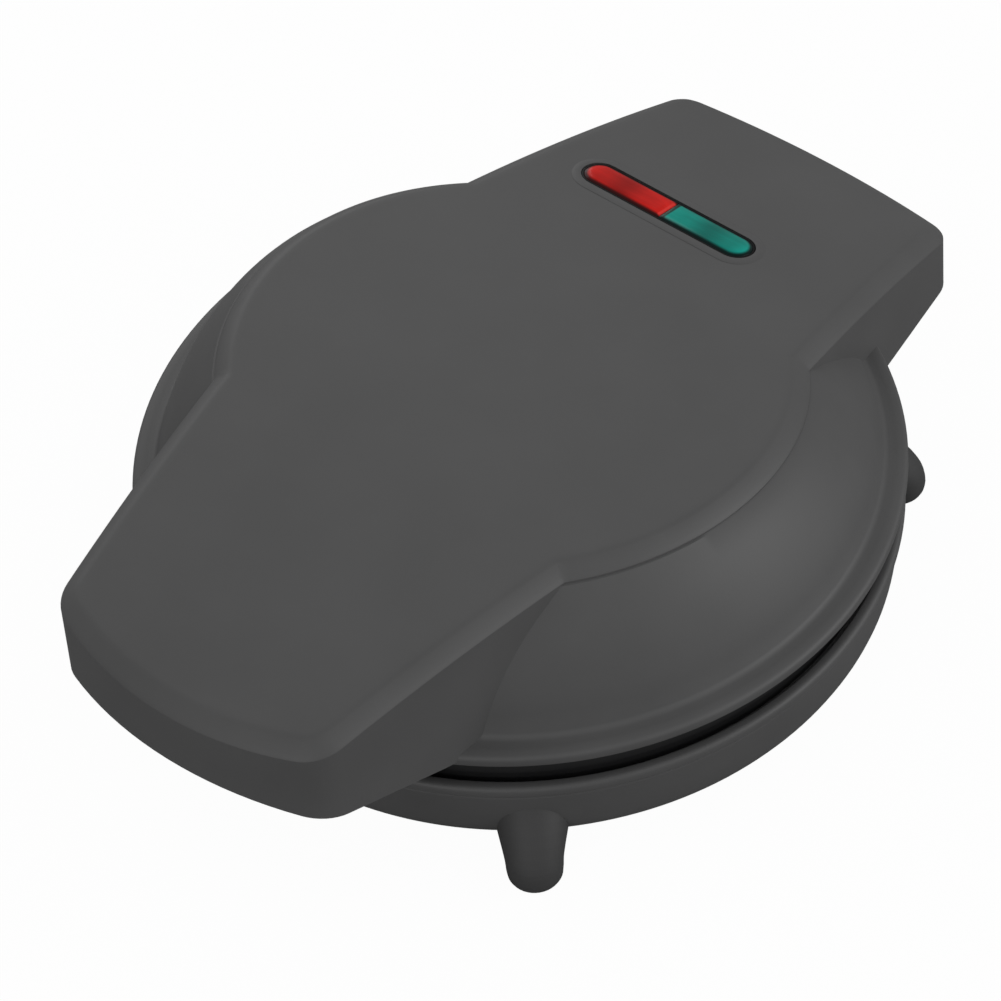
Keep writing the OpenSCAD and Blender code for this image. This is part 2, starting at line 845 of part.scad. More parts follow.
module upper_heat_shield() {
    translate([0, rim_y, 0]) color("#b9bbbd")
        in_lid() difference() {
            shield();
            translate([0, sensor_r, 0]) cylinder(r = thermostat_r + shield_hole_gap, h = shield_back + over);
        }
}

module lower_heat_shield() {
    translate([0, rim_y, 0]) color("#b9bbbd") in_base() shield();
}

module thermostat() {
    cap_h = thermostat_h + thermostat_cap_h;
    translate([0, rim_y, 0]) color("#c9c3b4")
        in_lid() translate([0, sensor_r, plate_back]) {
            cylinder(r = thermostat_r, h = thermostat_h);
            cylinder(r = thermostat_cap_r, h = cap_h);
            for (side = [-1, 1])
                translate([side * blade_apart / 2 - blade_t / 2, -blade_w / 2, cap_h - over])
                    cube([blade_t, blade_w, blade_h + over]);
        }
}

module thermal_fuse() {
    half = fuse_len / 2;
    axis_h = clip_t + fuse_r - clip_sink;
    translate([0, rim_y, 0]) color("#d9d2c0")
        in_lid() translate([fuse_x, fuse_y, shield_back]) {
            translate([-half, -clip_w / 2, 0]) cube([fuse_len, clip_w, clip_t]);
            translate([-half, 0, axis_h]) rotate([0, 90, 0]) cylinder(r = fuse_r, h = fuse_len);
            translate([-half - fuse_lead_len, 0, axis_h]) rotate([0, 90, 0])
                cylinder(r = fuse_lead_r, h = fuse_len + 2 * fuse_lead_len);
        }
}

// A straight wire from a to b, kept a distance short of each
module wire(a, b, short_a, short_b) {
    way = unit(b - a);
    from = a + way * short_a;
    length = norm(b - a) - short_a - short_b;
    translate(from) rotate([0, acos(way[2]), angle_of(way)]) cylinder(r = wire_r, h = length);
}

function leg_x() = heater_r * sin(heater_open_a + heater_leg_a);
function leg_y() = heater_r * cos(heater_open_a + heater_leg_a);

module lid_wires() {
    level = part_z + plate_back + thermostat_h + thermostat_cap_h + wire_gap + wire_r;
    rise_y = hinge_y - wire_rise;
    blade_x = blade_apart / 2;
    fuse_end = fuse_len / 2 + fuse_lead_len;
    bend = [fuse_x - fuse_end - fuse_bend, fuse_y + fuse_bend, level];
    translate([0, rim_y, 0]) color("#a8342c") {
        wire([wire_x, rise_y, level], [leg_x(), leg_y(), level], 0, heater_pin_r + wire_gap);
        wire([-wire_x, rise_y, level], [blade_x, sensor_r, level], 0, blade_w / 2 + wire_gap);
        wire([-blade_x, sensor_r, level], [fuse_x + fuse_end, fuse_y, level],
             blade_w / 2 + wire_gap, wire_gap);
        wire([fuse_x - fuse_end, fuse_y, level], bend, fuse_bend_gap, 0);
        translate(bend) sphere(wire_r + bend_bulge);
        wire(bend, [-leg_x(), leg_y(), level], 0, heater_pin_r + wire_gap);
    }
}

module hinge_pins() {
    translate([0, rim_y, 0]) color("#9a9a9c")
        both_sides() hinge_rod(pin_r, barrel_half - pin_in, barrel_half + pin_reach);
}

// Points of the bowl's lower corner, shrunk by "inset"
function bowl_corner(inset) =
    [for (i = [0:floor_round_steps])
        [corner_c_r, corner_z] + (bowl_corner_r - inset) * swing(-90 + 90 * i / floor_round_steps)];

module bowl_solid() {
    lip_c = [base_r - lip_round, lip_z - lip_round];
    rotate_extrude()
        polygon(concat([[0, cover_seat_z], [cover_r + trim_gap, cover_seat_z], [cover_r + trim_gap, belly_z]],
                       bowl_corner(0),
                       [[wall_top_r, wall_top_z], [base_r, wall_top_z + lip_step]],
                       [for (i = [0:lip_round_steps]) lip_c + lip_round * swing(90 * i / lip_round_steps)],
                       [[0, lip_z]]));
}

module bowl_hollow() {
    slope_z = base_seat_z - ledge_t - ledge_slope_h;
    slope_share = (slope_z - corner_z) / (wall_top_z - corner_z);
    slope_r = wall_low_r - wall + bowl_draft * slope_share;
    rotate_extrude()
        polygon(concat([[0, 0], [cover_hole_r, 0], [cover_hole_r, cover_seat_z + wall],
                        [ring_out_r, cover_seat_z + wall], [ring_out_r + ring_rise_w, floor_z]],
                       bowl_corner(wall),
                       [[slope_r, slope_z], [ledge_r, base_seat_z - ledge_t], [ledge_r, base_seat_z],
                        [seat_r, base_seat_z], [seat_r, lip_z + over], [0, lip_z + over]]));
}

// Hinge block and barrel behind the bowl
module hinge_block() {
    low = block_low_z - hinge_z;
    top = lip_z - hinge_z;
    translate([-barrel_half, hinge_y, hinge_z])
        rotate([90, 0, 90])
            linear_extrude(2 * barrel_half)
                polygon([[-block_rear, -block_tuck], [-block_rear, low], [-block_front, low],
                         [-block_front, top], [-block_shoulder, top], [-block_neck, -block_neck_drop]]);
    hinge_rod(barrel_r, -barrel_half, barrel_half);
}

// Raised tab of the lip under the handle
module front_lip() {
    top = rim_z - front_lip_gap;
    low_r = seat_r + front_lip_step;
    rotate([0, 0, -90 - front_lip_half_a])
        rotate_extrude(angle = 2 * front_lip_half_a)
            polygon([[low_r, wall_top_z + lip_step], [base_r, wall_top_z + lip_step],
                     [base_r, top - lip_round], [base_r - lip_round, top], [low_r, top]]);
}

module at_feet() {
    for (a = [-foot_front_a, foot_front_a - 180, foot_rear_a, 180 - foot_rear_a])
        rotate([0, 0, a]) translate([foot_reach, 0, 0]) children();
}

// Splayed foot: a tapered limb that ends in a rounded, upright stub
module foot() {
    knee_z = foot_end_r;
    way = [-foot_splay, foot_root_z - knee_z];
    translate([0, 0, pad_out]) cylinder(r = foot_end_r, h = knee_z - pad_out);
    translate([0, 0, knee_z]) {
        sphere(foot_end_r + knee_bulge);
        rotate([0, -atan2(foot_splay, foot_root_z - knee_z), 0])
            cylinder(r1 = foot_end_r, r2 = foot_root_r, h = norm(way));
    }
}

module base_shell() {
    translate([0, rim_y, 0]) color("#4a4a4b")
        difference() {
            union() {
                difference() {
                    union() {
                        bowl_solid();
                        hinge_block();
                        at_feet() foot();
                    }
                    bowl_hollow();
                }
                front_lip();
                at_azimuths(screw_azimuths, screw_circle_r) translate([0, 0, belly_z + wall / 2])
                    cylinder(r = boss_r, h = part_z - plate_back - belly_z - wall / 2);
                at_azimuths(cover_screw_azimuths, cover_screw_circle_r) translate([0, 0, cover_seat_z])
                    cylinder(r = cover_boss_r, h = wall + cover_boss_h);
            }
            in_base() screw_bores();
            at_azimuths(cover_screw_azimuths, cover_screw_circle_r)
                cylinder(r = cover_screw_r + hold_gap, h = belly_z + cover_screw_len + screw_pit);
            at_feet() translate([0, 0, -over]) cylinder(r = pad_r + pad_gap, h = over + pad_out + pad_sink);
            both_sides() hinge_rod(pin_r + run_gap, barrel_half - pin_in - blind_gap, barrel_half + over);
            at_inlet() cylinder(r = inlet_r + inlet_gap, h = block_front + over);
            for (side = [-1, 1])
                wire_channel(side * wire_x);
        }
}

// z = 0 at the bowl's inside behind which the cord's bush starts, +z to the rear
module at_inlet() {
    translate([0, hinge_y - block_front - over, inlet_z]) rotate([-90, 0, 0]) children();
}

function base_wire_z() = part_z - shield_back - 2 * wire_gap - wire_r;

// Channel for one wire, out of the bowl and up through the hinge barrel
module wire_channel(x) {
    r = wire_r + wire_channel_gap;
    y = hinge_y - wire_rise;
    translate([x, hinge_y - block_front - over, base_wire_z()]) rotate([-90, 0, 0])
        cylinder(r = r, h = block_front + over - wire_rise);
    translate([x, y, base_wire_z() - r]) cylinder(r = r, h = hinge_z + barrel_r - base_wire_z() + r + over);
}

module foot_pads() {
    translate([0, rim_y, 0]) color("#1f1f20")
        at_feet() cylinder(r = pad_r, h = pad_out + pad_sink);
}

module bottom_cover() {
    translate([0, rim_y, 0]) color("#3a3a3b")
        difference() {
            translate([0, 0, belly_z]) cylinder(r = cover_r, h = floor_cover_t);
            at_azimuths(vent_azimuths, vent_r) translate([-vent_len / 2, -vent_w / 2, belly_z - over])
                cube([vent_len, vent_w, floor_cover_t + 2 * over]);
            at_azimuths(cover_screw_azimuths, cover_screw_circle_r) {
                cylinder(r = cover_screw_r + trim_gap, h = belly_z + 2 * floor_cover_t);
                translate([0, 0, belly_z - trim_gap])
                    cylinder(r1 = cover_head_r + 2 * trim_gap, r2 = cover_screw_r + trim_gap,
                             h = cover_head_h + trim_gap);
            }
        }
}

module bottom_screws() {
    translate([0, rim_y, 0]) color("#8a8a8c")
        at_azimuths(cover_screw_azimuths, cover_screw_circle_r) translate([0, 0, belly_z])
            flat_screw(cover_screw_r, cover_screw_len, cover_head_r, cover_head_h);
}

module at_terminals() {
    translate([0, lid_r - terminal_inset, floor_z]) children();
}

module terminal_block() {
    translate([0, rim_y, 0]) color("#e4e1d8")
        at_terminals() difference() {
            translate([-terminal_len / 2, -terminal_w / 2, 0]) cube([terminal_len, terminal_w, terminal_h]);
            for (side = [-1, 0, 1])
                translate([side * terminal_hole_apart, -terminal_w / 4, terminal_h - terminal_hole_depth])
                    cylinder(r = terminal_hole_r, h = terminal_hole_depth + over);
        }
}

module base_wires() {
    top = floor_z + terminal_h;
    y = lid_r - terminal_inset;
    rise_y = hinge_y - wire_rise;
    pin_end = part_z - heater_h - heater_leg_len - heater_pin_len;
    translate([0, rim_y, 0]) color("#a8342c")
        both_sides() {
            wire([wire_x, y, top + wire_gap], [wire_x, y, base_wire_z()], 0, 0);
            translate([wire_x, y, base_wire_z()]) sphere(wire_r + bend_bulge);
            wire([wire_x, y, base_wire_z()], [wire_x, rise_y, base_wire_z()], 0, 0);
            translate([wire_x, rise_y, base_wire_z()]) sphere(wire_r + bend_bulge);
            wire([wire_x, rise_y, base_wire_z()], [wire_x, rise_y, hinge_z + barrel_r - block_neck_drop],
                 0, 0);
            wire([leg_x(), leg_y(), pin_end - wire_gap - wire_r],
                 [wire_side_x, y + wire_side_y, top + wire_gap + wire_r], 0, 0);
        }
}

module cord_inlet() {
    length = block_front + over - block_rear - inlet_start;
    translate([0, rim_y, 0]) color("#202021")
        at_inlet() translate([0, 0, inlet_start])
            difference() {
                union() {
                    cylinder(r = inlet_r, h = length + inlet_flange_t);
                    translate([0, 0, length]) cylinder(r = inlet_flange_r, h = inlet_flange_t);
                }
                translate([0, 0, -over]) cylinder(r = inlet_bore_r, h = length + inlet_flange_t + 2 * over);
            }
}

lid_shell();
handle_cover();
handle_screws();
light_frame();
red_lens();
green_lens();
lamp_holder();
indicator_lamps();
upper_plate();
upper_plate_screws();
upper_heater();
upper_heat_shield();
thermostat();
thermal_fuse();
lid_wires();
hinge_pins();
base_shell();
foot_pads();
bottom_cover();
bottom_screws();
lower_plate();
lower_plate_screws();
lower_heater();
lower_heat_shield();
terminal_block();
base_wires();
cord_inlet();
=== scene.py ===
# %% [markdown]
# # Mini donut maker
# The imported CAD model is the frame of this scene. It has every piece at its real size and
# place, so nothing here is fitted or moved. We load it first.

# %% Load the imported model
import json
import math

import bmesh
import bpy
from mathutils import Matrix, Vector


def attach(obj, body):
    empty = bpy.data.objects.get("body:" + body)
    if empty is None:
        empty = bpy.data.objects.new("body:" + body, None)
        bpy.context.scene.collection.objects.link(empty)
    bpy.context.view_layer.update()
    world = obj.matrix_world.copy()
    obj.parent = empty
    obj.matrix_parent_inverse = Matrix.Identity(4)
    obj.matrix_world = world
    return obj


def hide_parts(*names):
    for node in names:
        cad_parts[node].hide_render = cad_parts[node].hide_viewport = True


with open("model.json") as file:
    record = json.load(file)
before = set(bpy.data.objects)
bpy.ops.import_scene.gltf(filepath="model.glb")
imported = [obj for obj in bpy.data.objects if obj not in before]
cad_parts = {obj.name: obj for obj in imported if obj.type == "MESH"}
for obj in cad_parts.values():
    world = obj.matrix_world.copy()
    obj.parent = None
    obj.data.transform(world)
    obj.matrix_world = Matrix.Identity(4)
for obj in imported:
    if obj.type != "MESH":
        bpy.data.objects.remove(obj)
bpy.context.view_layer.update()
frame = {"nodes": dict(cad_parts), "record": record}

# %% [markdown]
# ## Sizes
# All shapes are drawn in millimetres, with y measured from the lid's centre, and z from the
# table. The last step of each piece turns that into metres in the model's frame. The panel on
# the lid is a long arch. It could be drawn station by station, but one function that gives its
# height at any y keeps the panel, the dome and the light window on one surface.

# %% Sizes that the pieces share
MM = 0.001
LID_SHIFT_Y = 3.0
LID_R = 100.0
RIM_Z = 42.0
LIP_Z = 32.0
SEAT_R = 96.2
LEDGE_R = 90.7
HINGE_Y = 112.0
HINGE_Z = 41.0
ARCH_R = 510.51
CREST_H = 43.0
CREST_AHEAD = 55.0
BEVEL_H = 3.6


def top_z(y):
    """Height of the panel's surface."""
    return RIM_Z + CREST_H - ARCH_R + math.sqrt(ARCH_R**2 - (y + CREST_AHEAD) ** 2)


print("panel's height in mm at its front, crest and rear:", [round(top_z(y), 1) for y in (-130, -55, 130)])

# %% [markdown]
# ## Camera
# The photograph was matched with a long lens: the outlines of lid, panel and feet give the
# viewing angle, and a small roll turns the picture. Aiming a camera at a target would lose the
# roll, so we build its three axes, and place it on the ray through the lid's centre.

# %% Camera
VIEW_AZIMUTH = math.radians(42.946)
VIEW_ELEVATION = math.radians(48.378)
VIEW_ROLL = math.radians(5.045)
VIEW_DISTANCE = 1.5425
FOCAL_PIXELS = 5983.0
FRAME_PIXELS = 1001
RIM_CENTRE = Vector((0, LID_SHIFT_Y, RIM_Z)) * MM
CENTRE_PIXELS = (19.2, 35.09)

back = Vector(
    (
        math.sin(VIEW_AZIMUTH) * math.cos(VIEW_ELEVATION),
        -math.cos(VIEW_AZIMUTH) * math.cos(VIEW_ELEVATION),
        math.sin(VIEW_ELEVATION),
    )
)
level = Vector((math.cos(VIEW_AZIMUTH), math.sin(VIEW_AZIMUTH), 0))
upright = back.cross(level)
right = math.cos(VIEW_ROLL) * level - math.sin(VIEW_ROLL) * upright
up = math.sin(VIEW_ROLL) * level + math.cos(VIEW_ROLL) * upright
per_pixel = VIEW_DISTANCE / FOCAL_PIXELS
eye = RIM_CENTRE + back * VIEW_DISTANCE - (right * CENTRE_PIXELS[0] + up * CENTRE_PIXELS[1]) * per_pixel

camera_data = bpy.data.cameras.new("camera")
camera_data.sensor_width = 36.0
camera_data.lens = FOCAL_PIXELS * camera_data.sensor_width / FRAME_PIXELS
camera_data.clip_end = 20.0
camera = bpy.data.objects.new("camera", camera_data)
bpy.context.scene.collection.objects.link(camera)
camera.matrix_world = Matrix.Translation(eye) @ Matrix((right, up, back)).transposed().to_4x4()
bpy.context.scene.camera = camera
print("camera at", [round(v, 3) for v in eye], "lens", round(camera_data.lens, 1))

# %% [markdown]
# ## Node helpers
# Each finish is a small node tree. A picture of the surface could stand in for it, but nodes
# have one grain size on every piece and need no unwrapping. The helpers keep the trees short.

# %% Node helpers
# Places of the factor, the two colours and the result among a Mix node's sockets
MIX_FACTOR = 0
MIX_A = 6
MIX_B = 7
MIX_RESULT = 2


def new_material(name):
    """An empty node material; returns it and its node tree."""
    material = bpy.data.materials.new(name)
    material.use_nodes = True
    material.node_tree.nodes.clear()
    return material, material.node_tree


def add(tree, kind, **settings):
    """A node of that kind with its settings."""
    node = tree.nodes.new(kind)
    for key, value in settings.items():
        setattr(node, key, value)
    return node


def feed(tree, socket, value):
    """Gives a socket a fixed number or colour, or the output of another node."""
    if isinstance(value, (float, tuple)):
        socket.default_value = value
    else:
        tree.links.new(value, socket)


def blend(tree, factor, first, second, kind="MIX"):
    """Colour between first and second."""
    node = add(tree, "ShaderNodeMix", data_type="RGBA", blend_type=kind)
    feed(tree, node.inputs[MIX_FACTOR], factor)
    feed(tree, node.inputs[MIX_A], first)
    feed(tree, node.inputs[MIX_B], second)
    return node.outputs[MIX_RESULT]


def calc(tree, kind, *values):
    """One step of arithmetic."""
    node = add(tree, "ShaderNodeMath", operation=kind)
    for socket, value in zip(node.inputs, values):
        feed(tree, socket, value)
    return node.outputs[0]


print("node helpers ready")

# %% [markdown]
# ## Floor
# The photograph's ground is pure white, with hardly a shadow. A plain white floor would turn
# grey in soft light, so what the camera sees of it is nearly all glow, with a small share of
# matt white that keeps a trace of the shadow. For the light that bounces off it the floor is
# darker, because a white one would throw too much light up into the base.

# %% Floor
FLOOR_SIZE = 6.0
FLOOR_WHITE_SHARE = 0.97
FLOOR_BOUNCE = 0.3


def white_floor():
    """White to the camera, and a middle grey to the light that bounces off it."""
    material, tree = new_material("floor_white")
    seen = add(tree, "ShaderNodeLightPath").outputs["Is Camera Ray"]
    matt = add(tree, "ShaderNodeBsdfDiffuse")
    bounce = (FLOOR_BOUNCE, FLOOR_BOUNCE, FLOOR_BOUNCE, 1)
    feed(tree, matt.inputs["Color"], blend(tree, seen, bounce, (1, 1, 1, 1)))
    glow = add(tree, "ShaderNodeEmission")
    glow.inputs["Strength"].default_value = 1.0
    mix = add(tree, "ShaderNodeMixShader")
    out = add(tree, "ShaderNodeOutputMaterial")
    feed(tree, mix.inputs[0], calc(tree, "MULTIPLY", seen, FLOOR_WHITE_SHARE))
    feed(tree, mix.inputs[1], matt.outputs[0])
    feed(tree, mix.inputs[2], glow.outputs[0])
    feed(tree, out.inputs[0], mix.outputs[0])
    return material


sheet = bmesh.new()
bmesh.ops.create_grid(sheet, x_segments=1, y_segments=1, size=FLOOR_SIZE)
floor_mesh = bpy.data.meshes.new("floor")
sheet.to_mesh(floor_mesh)
sheet.free()
floor_mesh.materials.append(white_floor())
floor = bpy.data.objects.new("floor", floor_mesh)
bpy.context.scene.collection.objects.link(floor)
print("floor:", 2 * FLOOR_SIZE, "m square")

# %% [markdown]
# ## Light
# The photograph's light is soft and even: the plastic shows hardly any highlight, only slow
# changes from face to face. One large lamp from above lights the tops far more than the walls.
# So a bright world does most of the work, and three wide lamps, set low at the right, the left
# and the front, lift the dome, the sides of the grip and the base's wall.

# %% World and lamps
WORLD_LIGHT = 0.6
LAMP_SIZE = 1.2
# Name, place in metres and power in watts
LAMPS = [
    ("lamp_right", (1.5, 0.8, 0.55), 12.0),
    ("lamp_left", (-1.5, 0.9, 0.7), 6.5),
    ("lamp_front", (0.3, -1.8, 0.6), 6.5),
]


def soft_lamp(name, place, watts):
    """Square area lamp that looks at the object."""
    data = bpy.data.lights.new(name, "AREA")
    data.size = LAMP_SIZE
    data.energy = watts
    lamp = bpy.data.objects.new(name, data)
    bpy.context.scene.collection.objects.link(lamp)
    place = Vector(place)
    turn = (RIM_CENTRE - place).to_track_quat("-Z", "Y").to_matrix().to_4x4()
    lamp.matrix_world = Matrix.Translation(place) @ turn


world = bpy.data.worlds.new("studio")
world.use_nodes = True
bpy.context.scene.world = world
world_tree = world.node_tree
world_tree.nodes.clear()
sky = add(world_tree, "ShaderNodeBackground")
sky.inputs["Strength"].default_value = WORLD_LIGHT
world_out = add(world_tree, "ShaderNodeOutputWorld")
feed(world_tree, world_out.inputs[0], sky.outputs[0])

for lamp in LAMPS:
    soft_lamp(*lamp)
bpy.context.scene.view_settings.view_transform = "Standard"

# %% [markdown]
# ## Grained surfaces
# The housing is matt moulded plastic with a fine spark-eroded grain. Two noises do that: a
# slow one that shifts the colour and the gloss a little, as handling and moulding do, and a
# fine one that only bends the normals. Real displacement would need millions of faces for a
# grain that is less than a tenth of a millimetre deep. Both read Object coordinates, so that
# the grain has one scale on every piece.

# %% Grained surfaces
MOTTLE_PER_M = 38.0
MOTTLE_DETAIL = 4.0
MOTTLE_FROM = 0.3
MOTTLE_TO = 0.7
ROUGH_SWING = 0.06
GRAIN_DETAIL = 3.0
GRAIN_ROUGH = 0.6
GRAIN_STRENGTH = 0.35


def noise(tree, where, per_m, detail):
    """Noise node on the object's own coordinates."""
    node = add(tree, "ShaderNodeTexNoise")
    node.inputs["Scale"].default_value = per_m
    node.inputs["Detail"].default_value = detail
    feed(tree, node.inputs["Vector"], where)
    return node


def grained(name, colour, rough, grain_per_m, grain_depth, mottle=0.12, metal=0.0, specular=0.5):
    """Node material with a slow mottle in colour and gloss and a fine grain in its normals."""
    material, tree = new_material(name)
    out = add(tree, "ShaderNodeOutputMaterial")
    shader = add(tree, "ShaderNodeBsdfPrincipled")
    shader.inputs["Metallic"].default_value = metal
    shader.inputs["Specular IOR Level"].default_value = specular
    feed(tree, out.inputs[0], shader.outputs[0])
    where = add(tree, "ShaderNodeTexCoord").outputs["Object"]
    slow = noise(tree, where, MOTTLE_PER_M, MOTTLE_DETAIL).outputs["Fac"]
    tint = add(tree, "ShaderNodeValToRGB")
    dark, light = tint.color_ramp.elements
    dark.position = MOTTLE_FROM
    light.position = MOTTLE_TO
    dark.color = (*[c * (1 - mottle / 2) for c in colour], 1)
    light.color = (*[c * (1 + mottle / 2) for c in colour], 1)
    feed(tree, tint.inputs["Fac"], slow)
    feed(tree, shader.inputs["Base Color"], tint.outputs["Color"])
    gloss = add(tree, "ShaderNodeMapRange")
    gloss.inputs["To Min"].default_value = rough - ROUGH_SWING
    gloss.inputs["To Max"].default_value = rough + ROUGH_SWING
    feed(tree, gloss.inputs["Value"], slow)
    feed(tree, shader.inputs["Roughness"], gloss.outputs["Result"])
    fine = noise(tree, where, grain_per_m, GRAIN_DETAIL)
    fine.inputs["Roughness"].default_value = GRAIN_ROUGH
    bump = add(tree, "ShaderNodeBump")
    bump.inputs["Strength"].default_value = GRAIN_STRENGTH
    bump.inputs["Distance"].default_value = grain_depth
    feed(tree, bump.inputs["Height"], fine.outputs["Fac"])
    feed(tree, shader.inputs["Normal"], bump.outputs["Normal"])
    return material


print("patches of the slow mottle are about", round(1000 / MOTTLE_PER_M), "mm wide")

# %% [markdown]
# ## Plastic, metal and rubber
# The shells are dark grey plastic. The feet stand in the shade under the bowl, and their darker
# grey is that shade painted into their colour. The window's frame is black. What can't be seen
# gets what such appliances have: a non-stick coat on the plates, steel, ceramic and glass.
# Pictures of real surfaces would be richer. At this distance colour, gloss and grain are enough,
# and each line is one material.

# %% Plastic, metal and rubber
# Name, colour, roughness, grain per metre and depth of the grain in metres
grey_plastic = grained("grey_plastic", (0.08, 0.08, 0.0805), 0.56, 1400.0, 0.00006)
# Painted shade: the feet's darker grey stands for the shade under the bowl
foot_painted_shade = grained("foot_painted_shade", (0.045, 0.045, 0.0455), 0.6, 1400.0, 0.00006)
black_plastic = grained("black_plastic", (0.006, 0.006, 0.0065), 0.38, 1800.0, 0.00003)
window_black = grained("window_black", (0.002, 0.002, 0.0022), 0.45, 1800.0, 0.00003, specular=0.15)
pad_rubber = grained("pad_rubber", (0.012, 0.012, 0.012), 0.75, 1200.0, 0.00008)
screw_steel = grained("screw_steel", (0.42, 0.42, 0.43), 0.32, 2600.0, 0.00002, metal=1.0)
heater_steel = grained("heater_steel", (0.16, 0.145, 0.13), 0.45, 1500.0, 0.00003, mottle=0.4, metal=1.0)
shield_steel = grained("shield_steel", (0.55, 0.56, 0.57), 0.3, 900.0, 0.00003, metal=1.0)
lamp_ceramic = grained("lamp_ceramic", (0.62, 0.6, 0.54), 0.5, 1100.0, 0.00004)
lamp_glass = grained("lamp_glass", (0.62, 0.26, 0.14), 0.12, 500.0, 0.00001)
wire_sleeve = grained("wire_sleeve", (0.32, 0.03, 0.02), 0.5, 900.0, 0.00003)
nonstick = grained("nonstick", (0.010, 0.010, 0.0105), 0.36, 2400.0, 0.00005, mottle=0.3)
print("materials so far, with those of the CAD:", len(bpy.data.materials))

# %% [markdown]
# ## Tones of the lenses
# The lenses are coloured clear caps over two indicator lamps. Each is dark along its edge, where
# the plastic turns down into the frame, and lighter at the seam and at its round end than in
# between, with a thin band of its own tone beside the seam. Glass that refracts would show the
# dark hollow behind it. So the light and shade are painted into the colour in the window's own
# axes: painted shade by the distance from the pill's edge, and painted light along the way from
# the seam to the round end.

# %% Tones of the lenses
WINDOW_LEFT = 9.0
WINDOW_Y = 75.0
LENS_LEN = 53.7
LENS_W = 9.3
WINDOW_CENTRE = (-WINDOW_LEFT * MM, (WINDOW_Y + LID_SHIFT_Y) * MM, top_z(WINDOW_Y) * MM)
WINDOW_TILT = -math.asin((WINDOW_Y + CREST_AHEAD) / ARCH_R)
LENS_HALF_M = LENS_W / 2 * MM
LENS_STRAIGHT_M = (LENS_LEN - LENS_W) / 2 * MM
STREAKS_PER_M = (120.0, 900.0, 900.0)
# Share of the way from the seam to the round end, and how light the painted light makes the colour there
LENS_PAINTED_LIGHT = [(0.0, 1.0), (0.25, 0.85), (0.52, 0.5), (0.78, 0.75), (1.0, 1.1)]


def window_axes(tree):
    """Where a point lies in the window's own axes."""
    where = add(tree, "ShaderNodeTexCoord").outputs["Object"]
    local = add(tree, "ShaderNodeMapping", vector_type="TEXTURE")
    local.inputs["Location"].default_value = WINDOW_CENTRE
    local.inputs["Rotation"].default_value = (WINDOW_TILT, 0, 0)
    feed(tree, local.inputs["Vector"], where)
    return local.outputs["Vector"]


def soft_rise(tree, value, low, high):
    """Goes softly from 0 at low to 1 at high."""
    node = add(tree, "ShaderNodeMapRange", interpolation_type="SMOOTHSTEP")
    node.inputs["From Min"].default_value = low
    node.inputs["From Max"].default_value = high
    feed(tree, node.inputs["Value"], value)
    return node.outputs["Result"]


def from_edge(tree, along, across):
    """Distance of a point from the pill's edge."""
    past = calc(tree, "MAXIMUM", calc(tree, "SUBTRACT", along, LENS_STRAIGHT_M), 0.0)
    squares = calc(tree, "ADD", calc(tree, "MULTIPLY", past, past), calc(tree, "MULTIPLY", across, across))
    return calc(tree, "SUBTRACT", LENS_HALF_M, calc(tree, "SQRT", squares))


def painted_lens_light(tree, along, bright):
    """Painted light: a bright colour that varies from the seam to the round end."""
    glow = add(tree, "ShaderNodeValToRGB")
    elements = glow.color_ramp.elements
    glow.color_ramp.interpolation = "EASE"
    for index, (place, _) in enumerate(LENS_PAINTED_LIGHT):
        if index > 1:
            elements.new(place)
        elements[index].position = place
    for element, (_, share) in zip(elements, LENS_PAINTED_LIGHT):
        element.color = (*[c * share for c in bright], 1)
    feed(tree, glow.inputs["Fac"], calc(tree, "DIVIDE", along, LENS_STRAIGHT_M + LENS_HALF_M))
    return glow.outputs["Color"]


def lens_streaks(tree, local):
    """Fine streaks along the window."""
    stretch = add(tree, "ShaderNodeVectorMath", operation="MULTIPLY")
    stretch.inputs[1].default_value = STREAKS_PER_M
    feed(tree, stretch.inputs[0], local)
    streaks = add(tree, "ShaderNodeTexNoise")
    streaks.inputs["Scale"].default_value = 1.0
    feed(tree, streaks.inputs["Vector"], stretch.outputs[0])
    return streaks.outputs["Fac"]


print("window's centre in mm:", [round(v / MM, 1) for v in WINDOW_CENTRE])

# %% [markdown]
# ## Lens plastic
# Red and green are one moulding in two colours, so one function makes both. It lays the band
# at the seam over the painted light, then the streaks, and last the painted shade at the edge.
# The same could be one painted picture for each lens, but then a change of shape would mean two
# new pictures.

# %% Lens plastic
LENS_ROUGH = 0.22
LENS_SHINE = 0.12
# The painted shade at a lens's edge fades out between these distances from the edge, in metres
EDGE_FROM_M = 0.0005
EDGE_TO_M = 0.0015
STREAK_SHARE = 0.35


def painted_lens_plastic(name, bright, dark, seam, seam_from, seam_to):
    """Coloured plastic with painted shade at its edges, painted light near its ends, and a band at the
    seam.
    """
    material, tree = new_material(name)
    out = add(tree, "ShaderNodeOutputMaterial")
    shader = add(tree, "ShaderNodeBsdfPrincipled")
    shader.inputs["Roughness"].default_value = LENS_ROUGH
    shader.inputs["Specular IOR Level"].default_value = LENS_SHINE
    feed(tree, out.inputs[0], shader.outputs[0])
    local = window_axes(tree)
    axes = add(tree, "ShaderNodeSeparateXYZ")
    feed(tree, axes.inputs["Vector"], local)
    along = calc(tree, "ABSOLUTE", axes.outputs["X"])
    painted_edge_shade = soft_rise(tree, from_edge(tree, along, axes.outputs["Y"]), EDGE_FROM_M, EDGE_TO_M)
    past_seam = soft_rise(tree, along, seam_from, seam_to)
    seamed = blend(tree, past_seam, (*seam, 1), painted_lens_light(tree, along, bright))
    streaked = blend(tree, STREAK_SHARE, seamed, lens_streaks(tree, local), kind="MULTIPLY")
    feed(tree, shader.inputs["Base Color"], blend(tree, painted_edge_shade, (*dark, 1), streaked))
    return material


